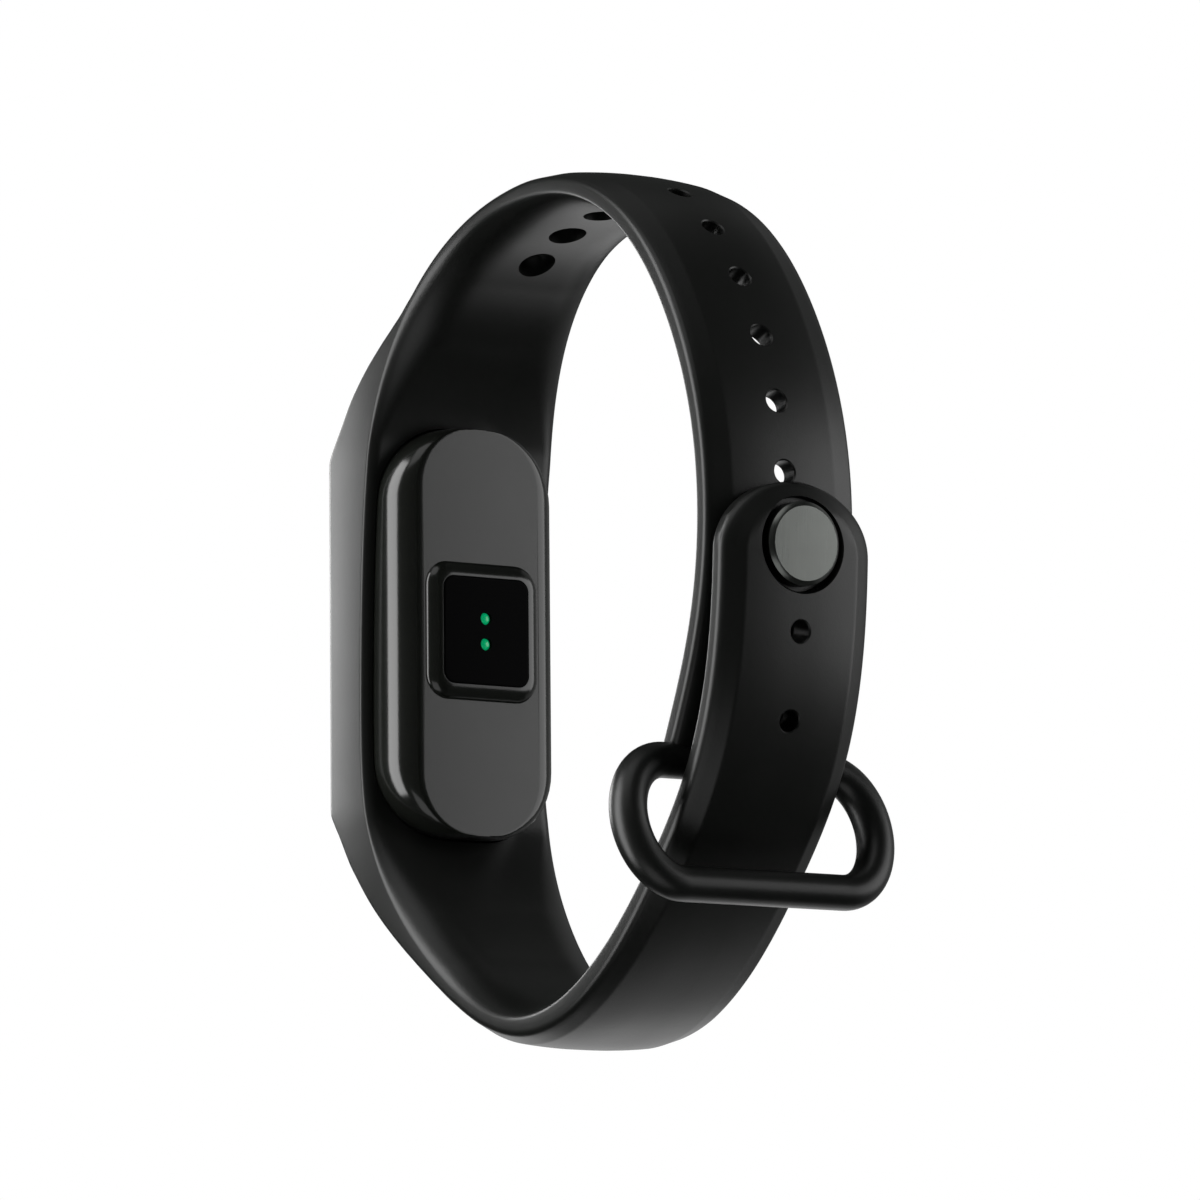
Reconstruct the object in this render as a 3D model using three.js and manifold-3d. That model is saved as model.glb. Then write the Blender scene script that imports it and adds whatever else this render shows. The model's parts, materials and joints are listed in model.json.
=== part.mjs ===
// Fitness tracker band, closed as it is on a wrist: a silicone band that grips a plastic tracker.
// Millimetres. +Z is up along the tracker, the wrist's axis is Y and the display faces -X.
// The origin is the middle of the wrist opening.
import * as THREE from 'three';
import { mergeVertices } from 'three/addons/utils/BufferGeometryUtils.js';
import Module from 'manifold-3d';

const wasm = await Module();
wasm.setup();

// ---------------------------------------------------------------- driving dimensions
const gap = 0.3; // between pieces that touch or move past each other
const fit = 0.1; // between flat pieces stacked inside the tracker

const opening = { depth: 49.3, top: 34.8, bottom: 35.3 }; // for the wrist; top and bottom are from the origin
const lens = { width: 13.8, length: 26, thickness: 1, corner: 2, setback: 0.1 };
const tracker = {
  width: lens.width + 3, length: lens.length + 10, corner: 6.5, back: -9.4, wall: 1, backWall: 0.8,
};
const trackerFace = { width: lens.width + 2.4, length: lens.length + 2, corner: 3 };
const backRounding = [ // insets along Y and along Z, and how far in front of the back face
  [0, 0, 2.8], [0.45, 0.1, 1.2], [1.15, 0.25, 0.4], [2.1, 0.5, 0],
];

const cradle = {
  width: tracker.width + 2.2, face: tracker.length - 4.8, front: -19.6, rim: -14.1,
  frontWall: 0.7, slope: 1.45, edge: 0.5, blend: 1, reach: tracker.length / 2 + 12,
};
const strap = { width: 14.9, thickness: 2.2, crown: 0.35, edge: 1.2, shoulderInset: 2.3 }; // half with holes
const peg = { thickness: 2.4, crown: 0.3, edge: 1.7, shoulderInset: 1.5 }; // half with the stud
const taper = { start: tracker.length / 2 - 2, length: 30 }; // along the band, from the cradle's middle
const pillow = { height: 0.9, inset: 2, start: 34, end: 62, least: 0.05 }; // swelling of the face on the wrist
const sectionStep = 3;

const hole = { pitch: 6.2, diameter: 2, seatDiameter: 3.3, seatDepth: 0.9, pastStud: 1, towardsCradle: 10 };
const tip = { studFromEnd: 5.2, roundLength: 6, narrowest: 0.08, ventPitch: 7, vents: 2, ventDiameter: 1.85 };
const overlap = { first: 7, touching: 15, end: 21.3, lift: 1.3 }; // of the loose end, over the strap with holes
const flap = { hingeBelowStud: 17, hingeHeight: peg.thickness / 2, angle: THREE.MathUtils.degToRad(35) };
const stud = {
  diameter: 7, thickness: 1.5, proud: 0.3, bevel: 0.35, recessGap: 0.5,
  neck: hole.diameter - 0.7, bulb: hole.diameter - 0.45, reach: 0.8,
};
const keeper = {
  tube: 3, straight: strap.width + 0.9, bulge: 4.35, depth: 13.9, tilt: THREE.MathUtils.degToRad(41),
};

const island = { width: 11.4, length: 12.1, height: 0.8, bevel: 1.35, corner: 2.2 };
const seal = { x: -15.2, thickness: 0.5, width: 0.8 };
const adhesive = { width: 0.9, thickness: 0.15 };
const display = { width: lens.width - 3.1, length: 19.3, thickness: 1.2 };
const displayTail = { width: 6, thickness: 0.2, overlap: 7, drop: 1 };
const touchPad = { width: 6.4, length: 2.7, thickness: 0.25 };
const board = { thickness: 0.8, clearance: 0.9 }; // clearance: room for parts between the display and the board
const chip = { height: 0.5, antennaFromTop: 2.25 };
const motor = { diameter: 8, depth: 2.9, wall: 0.3, shaft: 0.8, hub: 2.4, endRoom: 1.5 };
const battery = { endRoom: 2.4, sideRoom: 1.8 };
const protection = { length: 0.7, width: 9, depth: 2.5 };
const tape = { thickness: 0.15, margin: 1 };
const sensor = { board: 0.5, width: 9.2, length: 10, glass: 0.6, glassCorner: 1, opening: 6.8 };
const led = { diameter: 1.05, pitch: 2.25 };
const barrier = { y: 1.1, thickness: 0.3 };
const photodiode = { y: 1.7, length: 2.6, thickness: 0.5 };
const pad = { diameter: 1.3, pitch: 2.6, x: -13.2, length: 1.1 };

const sides = { hole: 12, pin: 12, recess: 24, head: 32, motor: 32, tube: 12 };
const beyond = 2; // how far a cutting tool stands out of what it cuts

const finish = {
  silicone: { color: 0x2b2d2b, roughness: 0.55, metalness: 0 },
  shell: { color: 0x2f312e, roughness: 0.3, metalness: 0 },
  glass: { color: 0x08090a, roughness: 0.08, metalness: 0 },
  steel: { color: 0x8d8f8c, roughness: 0.3, metalness: 1 },
  gold: { color: 0xc9a24a, roughness: 0.3, metalness: 1 },
  laminate: { color: 0x14532d, roughness: 0.6, metalness: 0 },
  chip: { color: 0x161616, roughness: 0.5, metalness: 0 },
  foil: { color: 0xb9bcbf, roughness: 0.4, metalness: 0.8 },
  film: { color: 0xc07a2c, roughness: 0.5, metalness: 0 },
  foam: { color: 0x1c1c1c, roughness: 0.95, metalness: 0 },
  green: { color: 0x19c27a, roughness: 0.2, metalness: 0 },
  panel: { color: 0x101418, roughness: 0.2, metalness: 0 },
  ceramic: { color: 0xe8e4da, roughness: 0.6, metalness: 0 },
};

// ---------------------------------------------------------------- geometry helpers
const model = new THREE.Group();

function addPiece(name, geometry, material) {
  const mesh = new THREE.Mesh(geometry, new THREE.MeshStandardMaterial(finish[material]));
  mesh.name = name;
  model.add(mesh);
  return mesh;
}

function toSolid(geometry) {
  const bare = geometry.clone();
  for (const attribute of Object.keys(bare.attributes)) {
    if (attribute !== 'position') bare.deleteAttribute(attribute);
  }
  const merged = mergeVertices(bare, 1e-5);
  return new wasm.Manifold(new wasm.Mesh({
    numProp: 3,
    vertProperties: new Float32Array(merged.attributes.position.array),
    triVerts: new Uint32Array(merged.index.array),
  }));
}

function toGeometry(solid) {
  const mesh = solid.getMesh();
  const geometry = new THREE.BufferGeometry();
  geometry.setAttribute('position', new THREE.BufferAttribute(new Float32Array(mesh.vertProperties), 3));
  geometry.setIndex(new THREE.BufferAttribute(new Uint32Array(mesh.triVerts), 1));
  geometry.computeVertexNormals();
  return geometry;
}

function cut(geometry, ...tools) {
  return toGeometry(tools.reduce((body, tool) => body.subtract(toSolid(tool)), toSolid(geometry)));
}

function join(geometry, ...others) {
  return toGeometry(others.reduce((body, other) => body.add(toSolid(other)), toSolid(geometry)));
}

function signedVolume(points, triangles) {
  let volume = 0;
  for (let i = 0; i < triangles.length; i += 3) {
    const [a, b, c] = [points[triangles[i]], points[triangles[i + 1]], points[triangles[i + 2]]];
    volume += a.dot(new THREE.Vector3().crossVectors(b, c)) / 6;
  }
  return volume;
}

// A closed body through rings of equally many points. An open row of rings is closed by a fan at each end.
function loft(rings, closed = false) {
  const points = rings.flat();
  const count = rings[0].length;
  const triangles = [];
  const spans = closed ? rings.length : rings.length - 1;
  for (let i = 0; i < spans; i++) {
    const here = i * count;
    const next = ((i + 1) % rings.length) * count;
    for (let j = 0; j < count; j++) {
      const k = (j + 1) % count;
      triangles.push(here + j, here + k, next + k, here + j, next + k, next + j);
    }
  }
  if (!closed) {
    const last = (rings.length - 1) * count;
    for (let j = 1; j < count - 1; j++) {
      triangles.push(0, j + 1, j, last, last + j, last + j + 1);
    }
  }
  if (signedVolume(points, triangles) < 0) triangles.reverse();
  const geometry = new THREE.BufferGeometry().setFromPoints(points);
  geometry.setIndex(triangles);
  geometry.computeVertexNormals();
  return geometry;
}

// A rounded rectangle across X, with its sides along Y and Z.
function roundedRing({ x, width, length, corner, cornerSteps = 6, y = 0, z = 0 }) {
  const ring = [];
  const centres = [[1, 1], [-1, 1], [-1, -1], [1, -1]];
  centres.forEach(([signY, signZ], quarter) => {
    for (let i = 0; i <= cornerSteps; i++) {
      const angle = (quarter + i / cornerSteps) * Math.PI / 2;
      ring.push(new THREE.Vector3(
        x,
        y + signY * (width / 2 - corner) + corner * Math.cos(angle),
        z + signZ * (length / 2 - corner) + corner * Math.sin(angle),
      ));
    }
  });
  return ring;
}

function slab(from, to, size) {
  return loft([roundedRing({ x: from, ...size }), roundedRing({ x: to, ...size })]);
}

function block([x0, x1], [y0, y1], [z0, z1]) {
  return new THREE.BoxGeometry(x1 - x0, y1 - y0, z1 - z0)
    .translate((x0 + x1) / 2, (y0 + y1) / 2, (z0 + z1) / 2);
}

// A turned body whose axis is X: profile points are [radius, x].
function turnedAlongX(profile, sides, y = 0, z = 0) {
  return new THREE.LatheGeometry(profile.map(([r, x]) => new THREE.Vector2(r, x)), sides)
    .rotateZ(-Math.PI / 2)
    .translate(0, y, z);
}

const grown = (size, by) => ({
  ...size, width: size.width + 2 * by, length: size.length + 2 * by, corner: size.corner + by,
});
const smooth = THREE.MathUtils.smoothstep;

// ---------------------------------------------------------------- line of the band
// The band's inner edge, in parts of the opening: from the keeper over the top, down behind the tracker
// and round the bottom, until it lies on the first half again.
const openingShape = [
  [0.899, -0.385], [0.968, -0.156], [1, 0.1], [0.976, 0.397], [0.895, 0.658], [0.773, 0.862],
  [0.611, 0.98], [0.438, 0.997], [0.276, 0.945], [0.144, 0.81], [0.055, 0.603], [0.016, 0.345],
  [0, 0], [-0.002, -0.255], [0.018, -0.496], [0.091, -0.694], [0.195, -0.85], [0.316, -0.96],
  [0.458, -1], [0.6, -0.949], [0.732, -0.83], [0.86, -0.654], [0.968, -0.448],
];
const middleOfCradle = openingShape.findIndex(([x, z]) => x === 0 && z === 0);

const openingPoint = ([x, z]) => new THREE.Vector3(
  cradle.rim + x * opening.depth, 0, z * (z > 0 ? opening.top : opening.bottom),
);

function makeLine(points) {
  const curve = new THREE.CatmullRomCurve3(points);
  curve.arcLengthDivisions = 1200;
  const length = curve.getLength();
  const at = (distance) => {
    const part = THREE.MathUtils.clamp(distance / length, 0, 1);
    const along = curve.getTangentAt(part);
    return { point: curve.getPointAt(part), along, out: new THREE.Vector3(along.z, 0, -along.x) };
  };
  return { length, at };
}

const place = (station, outwards, sideways = 0, forwards = 0) => station.point.clone()
  .addScaledVector(station.out, outwards)
  .addScaledVector(station.along, forwards)
  .add(new THREE.Vector3(0, sideways, 0));

// Distance along a line of the point nearest to a target.
function nearestOn(line, target, from, to) {
  let best = from;
  for (let distance = from; distance <= to; distance += 0.05) {
    if (line.at(distance).point.distanceTo(target) < line.at(best).point.distanceTo(target)) best = distance;
  }
  return best;
}

const freePoints = openingShape.map(openingPoint);
const freeLine = makeLine(freePoints);
const overlapPoints = [
  place(freeLine.at(overlap.first), strap.thickness + overlap.lift),
  place(freeLine.at(overlap.touching), strap.thickness + gap),
  place(freeLine.at(overlap.end), strap.thickness + gap),
];
const band = makeLine([...freePoints, ...overlapPoints]);
const middle = nearestOn(band, freePoints[middleOfCradle], 0, band.length);

// ---------------------------------------------------------------- band sections
const fromMiddle = (distance) => Math.abs(distance - middle);

const halfWidth = (distance) => THREE.MathUtils.lerp(
  cradle.width / 2, strap.width / 2, smooth(fromMiddle(distance), taper.start, taper.start + taper.length),
);
const pillowHeight = (distance) => pillow.height * (1 - smooth(fromMiddle(distance), pillow.start, pillow.end));

// Points of one section, sideways and outwards, from a half width and the sizes of its outer face: crown is how
// far its middle stands above its shoulders.
function section(half, swell, { edge, crown, thickness, shoulderInset }) {
  const inset = Math.min(pillow.inset, half / 2);
  const step = Math.min(shoulderInset, half / 2);
  return [
    [-half, 0], [-half + inset, -swell], [half - inset, -swell], [half, 0], [half, edge],
    [half - step, thickness - crown], [0, thickness], [-half + step, thickness - crown], [-half, edge],
  ];
}

// The cradle's outer face is its flat front and the two slopes beside it, and never thinner than the strap.
function cradleDepth(station) {
  const { point, out } = station;
  const toFront = out.x < 0 ? (cradle.front - point.x) / out.x : Infinity;
  const side = Math.sign(point.z) || 1;
  const slopeStart = cradle.face / 2;
  const height = slopeStart + cradle.slope * (point.x - cradle.front) - side * point.z;
  const closing = side * out.z - cradle.slope * out.x;
  const toSlope = closing > 0 ? height / closing : Infinity;
  return Math.max(strap.thickness, Math.min(toFront, toSlope));
}

// Its square shoulders soften into the strap's where it is as thin as the strap.
function cradleSizes(station) {
  const depth = cradleDepth(station);
  const square = smooth(depth, strap.thickness, strap.thickness + cradle.blend);
  return {
    edge: THREE.MathUtils.lerp(strap.edge, depth - cradle.edge, square),
    crown: THREE.MathUtils.lerp(strap.crown, 0, square),
    thickness: depth,
    shoulderInset: THREE.MathUtils.lerp(strap.shoulderInset, cradle.edge, square),
  };
}

// A stretch of the band. Its last section can lean: lastShift gives a shift along the band for each height.
function sweep(from, to, sizesAt, lastShift = () => 0) {
  const steps = Math.max(2, Math.round((to - from) / sectionStep));
  const rings = [];
  for (let i = 0; i <= steps; i++) {
    const distance = from + (to - from) * i / steps;
    const station = band.at(distance);
    const swell = Math.max(pillow.least, pillowHeight(distance));
    const outline = section(halfWidth(distance), swell, sizesAt(station));
    const shift = i === steps ? lastShift : () => 0;
    rings.push(outline.map(([sideways, outwards]) => place(station, outwards, sideways, shift(outwards))));
  }
  return loft(rings);
}

// A tool for a round hole through the band, along the outward direction: profile points are [radius, outwards].
function holeTool(station, profile, count = sides.hole) {
  const tool = new THREE.LatheGeometry(profile.map(([r, outwards]) => new THREE.Vector2(r, outwards)), count);
  const turn = new THREE.Quaternion().setFromUnitVectors(new THREE.Vector3(0, 1, 0), station.out);
  return tool.applyQuaternion(turn).translate(station.point.x, station.point.y, station.point.z);
}

const cradleStart = middle - cradle.reach;
const cradleEnd = middle + cradle.reach;
const studStation = band.length - tip.studFromEnd;
const hingeStation = studStation - flap.hingeBelowStud;

// ---------------------------------------------------------------- strap with holes
// Holes lie an even pitch apart on the outer face, and stop short of the cradle.
function makeHoledStrap() {
  const outerPitch = (distance) => {
    const [here, next] = [distance, distance + 1].map((d) => place(band.at(d), strap.thickness));
    return hole.pitch / here.distanceTo(next);
  };
  const stations = [nearestOn(band, band.at(studStation).point, 0, cradleStart)];
  for (let i = 0; i < hole.pastStud; i++) stations.unshift(stations[0] - outerPitch(stations[0]));
  for (let i = 0; i < hole.towardsCradle; i++) stations.push(stations.at(-1) + outerPitch(stations.at(-1)));
  const inside = -pillow.height - beyond;
  const tools = stations.filter((distance) => distance < cradleStart - hole.seatDiameter).map((distance) => {
    const seat = hole.seatDepth - pillowHeight(distance);
    return holeTool(band.at(distance), [
      [0, inside], [hole.seatDiameter / 2, inside], [hole.seatDiameter / 2, seat],
      [hole.diameter / 2, seat], [hole.diameter / 2, strap.thickness + beyond], [0, strap.thickness + beyond],
    ]);
  });
  addPiece('holed_strap', cut(sweep(0, cradleStart - gap / 2, () => strap), ...tools), 'silicone');
}

// ---------------------------------------------------------------- strap with the stud
// Above the hinge, its end leans back as far as the flap swings.
const lean = (outwards) => -Math.max(0, outwards - flap.hingeHeight) * Math.tan(flap.angle) - gap;

function makePegStrap() {
  addPiece('peg_strap', sweep(cradleEnd + gap / 2, hingeStation, () => peg, lean), 'silicone');
}

function makePegStrapTip() {
  const roundFrom = band.length - tip.roundLength;
  const straight = sweep(hingeStation, roundFrom, () => peg);
  const endSteps = 8;
  const rings = Array.from({ length: endSteps + 1 }, (_, i) => {
    const angle = (i / endSteps) * Math.PI / 2;
    const distance = roundFrom + Math.sin(angle) * tip.roundLength;
    const outline = section(strap.width / 2 * Math.max(tip.narrowest, Math.cos(angle)), pillow.least, peg);
    return outline.map(([sideways, outwards]) => place(band.at(distance), outwards, sideways));
  });
  const studAt = band.at(studStation);
  const recessFloor = peg.thickness + stud.proud - stud.thickness - fit;
  const recessRadius = stud.diameter / 2 + stud.recessGap;
  const recess = holeTool(studAt, [
    [0, -beyond], [hole.diameter / 2, -beyond], [hole.diameter / 2, recessFloor],
    [recessRadius, recessFloor], [recessRadius, peg.thickness + beyond], [0, peg.thickness + beyond],
  ], sides.recess);
  const ventProfile = [
    [0, -beyond], [tip.ventDiameter / 2, -beyond], [tip.ventDiameter / 2, peg.thickness + beyond],
    [0, peg.thickness + beyond],
  ];
  const vents = Array.from({ length: tip.vents }, (_, i) => (
    holeTool(band.at(studStation - (i + 1) * tip.ventPitch), ventProfile)
  ));
  addPiece('peg_strap_tip', cut(join(straight, loft(rings)), recess, ...vents), 'silicone');
}

function makeStud() {
  const studAt = band.at(studStation);
  const top = peg.thickness + stud.proud;
  const under = top - stud.thickness;
  const radius = stud.diameter / 2;
  const head = holeTool(studAt, [
    [0, under], [radius, under], [radius, top - stud.bevel], [radius - stud.bevel, top], [0, top],
  ], sides.head);
  addPiece('clasp_stud_head', head, 'steel');
  const strapInside = -gap - strap.thickness;
  const pinEnd = strapInside - stud.reach;
  const pin = holeTool(studAt, [
    [0, pinEnd], [stud.bulb / 4, pinEnd], [stud.bulb / 2, pinEnd + stud.bulb / 3],
    [stud.bulb / 2, strapInside], [stud.neck / 2, strapInside + stud.bulb / 3],
    [stud.neck / 2, under - fit], [0, under - fit],
  ], sides.pin);
  addPiece('clasp_stud_pin', pin, 'steel');
}

// ---------------------------------------------------------------- keeper loop
function makeKeeper() {
  const radius = keeper.tube / 2;
  const end = band.at(0);
  const backBar = place(end, strap.thickness / 2, 0, -radius - gap);
  const across = end.along.clone().negate().multiplyScalar(Math.cos(keeper.tilt))
    .addScaledVector(end.out, Math.sin(keeper.tilt));
  const reach = keeper.depth - keeper.tube; // from the back bar's axis to the front bar's
  const sideways = new THREE.Vector3(0, 1, 0);
  const arcSteps = 12;
  const path = [];
  for (const side of [1, -1]) {
    for (let i = 0; i <= arcSteps; i++) {
      const angle = Math.PI * (i / arcSteps);
      const depth = reach / 2 * (1 - side * Math.cos(angle));
      const width = side * (keeper.straight / 2 + keeper.bulge * Math.sin(angle));
      path.push(backBar.clone().addScaledVector(across, depth).addScaledVector(sideways, width));
    }
  }
  const plane = new THREE.Vector3().crossVectors(across, sideways).normalize();
  const rings = path.map((point, i) => {
    const before = path[(i + path.length - 1) % path.length];
    const after = path[(i + 1) % path.length];
    const along = after.clone().sub(before).normalize();
    const inPlane = new THREE.Vector3().crossVectors(plane, along).normalize();
    return Array.from({ length: sides.tube }, (_, j) => {
      const angle = (j / sides.tube) * 2 * Math.PI;
      return point.clone().addScaledVector(inPlane, radius * Math.cos(angle))
        .addScaledVector(plane, radius * Math.sin(angle));
    });
  });
  addPiece('keeper_loop', loft(rings, true), 'silicone');
}

// ---------------------------------------------------------------- tracker: places along X
const shellFront = cradle.front + cradle.frontWall + gap;
const lensFront = cradle.front + lens.setback;
const lensBack = lensFront + lens.thickness;
const adhesiveFront = lensBack + fit;
const lensFloor = adhesiveFront + adhesive.thickness + fit;
const displayFront = lensBack + fit;
const displayBack = displayFront + display.thickness;
const boardFront = displayBack + board.clearance;
const boardBack = boardFront + board.thickness;
const sealFront = seal.x - seal.thickness / 2;
const sealBack = seal.x + seal.thickness / 2;
const backInside = tracker.back - tracker.backWall;
const islandTop = tracker.back + island.height;
const glassBack = islandTop - sensor.glass;
const glassFloor = glassBack - fit;
const sensorBoardBack = backInside - fit;
const sensorBoardFront = sensorBoardBack - sensor.board;
const tapeBack = sensorBoardFront - fit;
const tapeFront = tapeBack - tape.thickness;
const batteryBack = tapeFront - fit;
const batteryFront = boardBack + 2 * fit;

// The tracker's outline across X: it narrows from the seal to its face, and keeps its size behind that.
function trackerSize(x) {
  const part = THREE.MathUtils.clamp((x - shellFront) / (sealBack - shellFront), 0, 1);
  return {
    width: THREE.MathUtils.lerp(trackerFace.width, tracker.width, part),
    length: THREE.MathUtils.lerp(trackerFace.length, tracker.length, part),
    corner: THREE.MathUtils.lerp(trackerFace.corner, tracker.corner, part),
  };
}
const trackerRing = (x, by = 0) => roundedRing({ x, ...grown(trackerSize(x), by) });

// ---------------------------------------------------------------- cradle
function makeCradle() {
  const body = sweep(cradleStart + gap / 2, cradleEnd - gap / 2, cradleSizes);
  const pocket = loft([
    trackerRing(shellFront - gap, gap), roundedRing({ x: sealBack - gap, ...grown(tracker, gap) }),
    trackerRing(tracker.back + beyond, gap),
  ]);
  const window = slab(cradle.front - beyond, shellFront, grown(lens, gap));
  addPiece('strap_cradle', cut(body, pocket, window), 'silicone');
}

// ---------------------------------------------------------------- tracker casing
const backInset = backRounding.at(-1)[0];

function makeRearShell() {
  const outer = loft([
    trackerRing(sealBack + fit),
    ...backRounding.map(([insetY, insetZ, ahead]) => roundedRing({
      x: tracker.back - ahead,
      width: tracker.width - 2 * insetY,
      length: tracker.length - 2 * insetZ,
      corner: tracker.corner - insetY - insetZ,
    })),
  ]);
  const islandBody = loft([
    roundedRing({ x: tracker.back - tracker.backWall / 2, ...island }),
    roundedRing({ x: tracker.back, ...island }),
    roundedRing({ x: islandTop, ...grown(island, -island.bevel + 2 * fit) }),
  ]);
  const inside = loft([
    trackerRing(sealBack - beyond, -tracker.wall),
    trackerRing(tracker.back - backRounding[1][2] - tracker.backWall, -tracker.wall),
    trackerRing(backInside, -tracker.wall - backInset / 2),
  ]);
  const glassRecess = slab(glassFloor, islandTop + beyond, grown(glassSize, fit));
  const sensorOpening = slab(backInside - beyond, islandTop, {
    width: sensor.opening, length: sensor.opening, corner: sensor.glassCorner,
  });
  const padHoleRadius = pad.diameter / 2 + 2 * fit;
  const padHoles = padPlaces.map((y) => new THREE.CylinderGeometry(
    padHoleRadius, padHoleRadius, 2 * tracker.wall + beyond, sides.hole,
  ).rotateX(Math.PI / 2).translate(pad.x, y, -tracker.length / 2));
  const hollows = [inside, glassRecess, sensorOpening, ...padHoles];
  addPiece('tracker_rear_shell', cut(join(outer, islandBody), ...hollows), 'shell');
}

const displayOpening = {
  width: lens.width - 2 * adhesive.width - 4 * fit,
  length: lens.length - 2 * adhesive.width - 4 * fit,
  corner: 0.5,
};

function makeFrontShell() {
  const outer = loft([trackerRing(shellFront), trackerRing(sealFront - fit)]);
  const faceInside = lensFloor + tracker.wall / 2;
  const inside = loft([trackerRing(faceInside, -tracker.wall), trackerRing(seal.x, -tracker.wall)]);
  const recess = slab(shellFront - beyond, lensFloor, grown(lens, fit));
  const displayCut = slab(lensFloor - fit, faceInside + fit, displayOpening);
  addPiece('tracker_front_shell', cut(outer, inside, recess, displayCut), 'shell');
}

function makeSeal() {
  const outer = loft([trackerRing(sealFront), trackerRing(sealBack)]);
  const inner = loft([trackerRing(sealFront - fit, -seal.width), trackerRing(sealBack + fit, -seal.width)]);
  addPiece('case_seal', cut(outer, inner), 'foam');
}

// ---------------------------------------------------------------- display side
const displayTop = displayOpening.length / 2 - fit;
const displayBottom = displayTop - display.length;

function makeDisplaySide() {
  addPiece('display_lens', slab(lensFront, lensBack, lens), 'glass');
  const frame = slab(adhesiveFront, adhesiveFront + adhesive.thickness, lens);
  const hollow = slab(adhesiveFront - fit, lensFloor, grown(displayOpening, fit));
  addPiece('lens_adhesive', cut(frame, hollow), 'foam');
  addPiece('display_panel', block(
    [displayFront, displayBack], [-display.width / 2, display.width / 2], [displayBottom, displayTop],
  ), 'panel');
  const padTop = displayBottom - 2 * fit;
  addPiece('touch_electrode', block(
    [displayFront, displayFront + touchPad.thickness], [-touchPad.width / 2, touchPad.width / 2],
    [padTop - touchPad.length, padTop],
  ), 'film');
  const foldBack = displayBack + fit + displayTail.thickness;
  const foldTop = displayBottom + displayTail.overlap;
  const foldBottom = displayBottom - displayTail.drop;
  const profile = new THREE.Shape([
    [displayBack + fit, foldTop], [displayBack + fit, foldBottom], [boardFront - fit, foldBottom],
    [boardFront - fit, foldBottom + displayTail.thickness], [foldBack, foldBottom + displayTail.thickness],
    [foldBack, foldTop],
  ].map(([x, z]) => new THREE.Vector2(x, z)));
  addPiece('display_flex', new THREE.ExtrudeGeometry(profile, { depth: displayTail.width, bevelEnabled: false })
    .rotateX(Math.PI / 2).translate(0, displayTail.width / 2, 0), 'film');
}

// ---------------------------------------------------------------- board and what is on it
function makeBoard() {
  const outline = grown(trackerSize(boardFront), -tracker.wall - gap);
  addPiece('main_board', slab(boardFront, boardBack, outline), 'laminate');
  const onFront = [boardFront - fit - chip.height, boardFront - fit];
  const parts = { // name: [centre along Y, centre along Z, width, length, finish]
    bluetooth_chip: [-2.2, 4, 5, 5, 'chip'],
    motion_sensor_chip: [4, 0.5, 2.5, 2.5, 'chip'],
    flash_chip: [3.4, 5.5, 3, 4, 'chip'],
    crystal: [-4.6, -2, 1.6, 2.5, 'foil'],
    antenna: [0, outline.length / 2 - chip.antennaFromTop, 7, 1.6, 'ceramic'],
  };
  for (const [name, [y, z, width, length, material]] of Object.entries(parts)) {
    addPiece(name, block(onFront, [y - width / 2, y + width / 2], [z - length / 2, z + length / 2]), material);
  }
}

// ---------------------------------------------------------------- battery and motor
const cavityHalf = tracker.length / 2 - tracker.wall;
const motorCentre = cavityHalf - motor.diameter / 2 - motor.endRoom;
const protectionTop = motorCentre - motor.diameter / 2 - 2 * gap;
const batteryTop = protectionTop - protection.length - gap;
const batteryBottom = -cavityHalf + battery.endRoom;
const batteryHalf = tracker.width / 2 - tracker.wall - battery.sideRoom;

function makeBattery() {
  addPiece('battery_cell', block(
    [batteryFront, batteryBack], [-batteryHalf, batteryHalf], [batteryBottom, batteryTop],
  ), 'foil');
  addPiece('battery_tape', block(
    [tapeFront, tapeBack], [-batteryHalf + tape.margin, batteryHalf - tape.margin],
    [batteryBottom + tape.margin, batteryTop - tape.margin],
  ), 'film');
  addPiece('battery_protection_board', block(
    [batteryFront + fit, batteryFront + fit + protection.depth], [-protection.width / 2, protection.width / 2],
    [protectionTop - protection.length, protectionTop],
  ), 'laminate');
}

function makeMotor() {
  const canFront = batteryFront;
  const canBack = canFront + motor.depth;
  const radius = motor.diameter / 2;
  const floor = canBack - motor.wall;
  addPiece('motor_can', turnedAlongX([
    [0, floor], [radius - motor.wall, floor], [radius - motor.wall, canFront],
    [radius, canFront], [radius, canBack], [0, canBack],
  ], sides.motor, 0, motorCentre), 'steel');
  addPiece('motor_shaft', turnedAlongX([
    [0, canFront + fit], [motor.shaft / 2, canFront + fit], [motor.shaft / 2, floor - fit], [0, floor - fit],
  ], sides.pin, 0, motorCentre), 'steel');
  const weightRadius = radius - motor.wall - gap;
  const shape = new THREE.Shape();
  shape.absarc(0, 0, weightRadius, Math.PI, 2 * Math.PI, false);
  shape.lineTo(motor.hub / 2, 0);
  shape.absarc(0, 0, motor.hub / 2, 0, Math.PI, false);
  shape.closePath();
  const bore = new THREE.Path();
  bore.absarc(0, 0, motor.shaft / 2 + gap / 2, 0, 2 * Math.PI, true);
  shape.holes.push(bore);
  const weightDepth = floor - canFront - 2 * gap;
  const weight = new THREE.ExtrudeGeometry(shape, {
    depth: weightDepth, bevelEnabled: false, curveSegments: sides.pin,
  });
  // The shape's plane becomes Y and Z, so its lower half hangs towards -Z.
  const upright = new THREE.Matrix4().makeBasis(
    new THREE.Vector3(0, 1, 0), new THREE.Vector3(0, 0, 1), new THREE.Vector3(1, 0, 0),
  );
  addPiece('motor_weight', weight.applyMatrix4(upright).translate(canFront + gap, 0, motorCentre), 'steel');
}

// ---------------------------------------------------------------- heart-rate sensor
const glassSize = grown({ ...island, corner: sensor.glassCorner + island.bevel }, -island.bevel);
const ledPlaces = { green_led_upper: led.pitch / 2, green_led_lower: -led.pitch / 2 };

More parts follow.
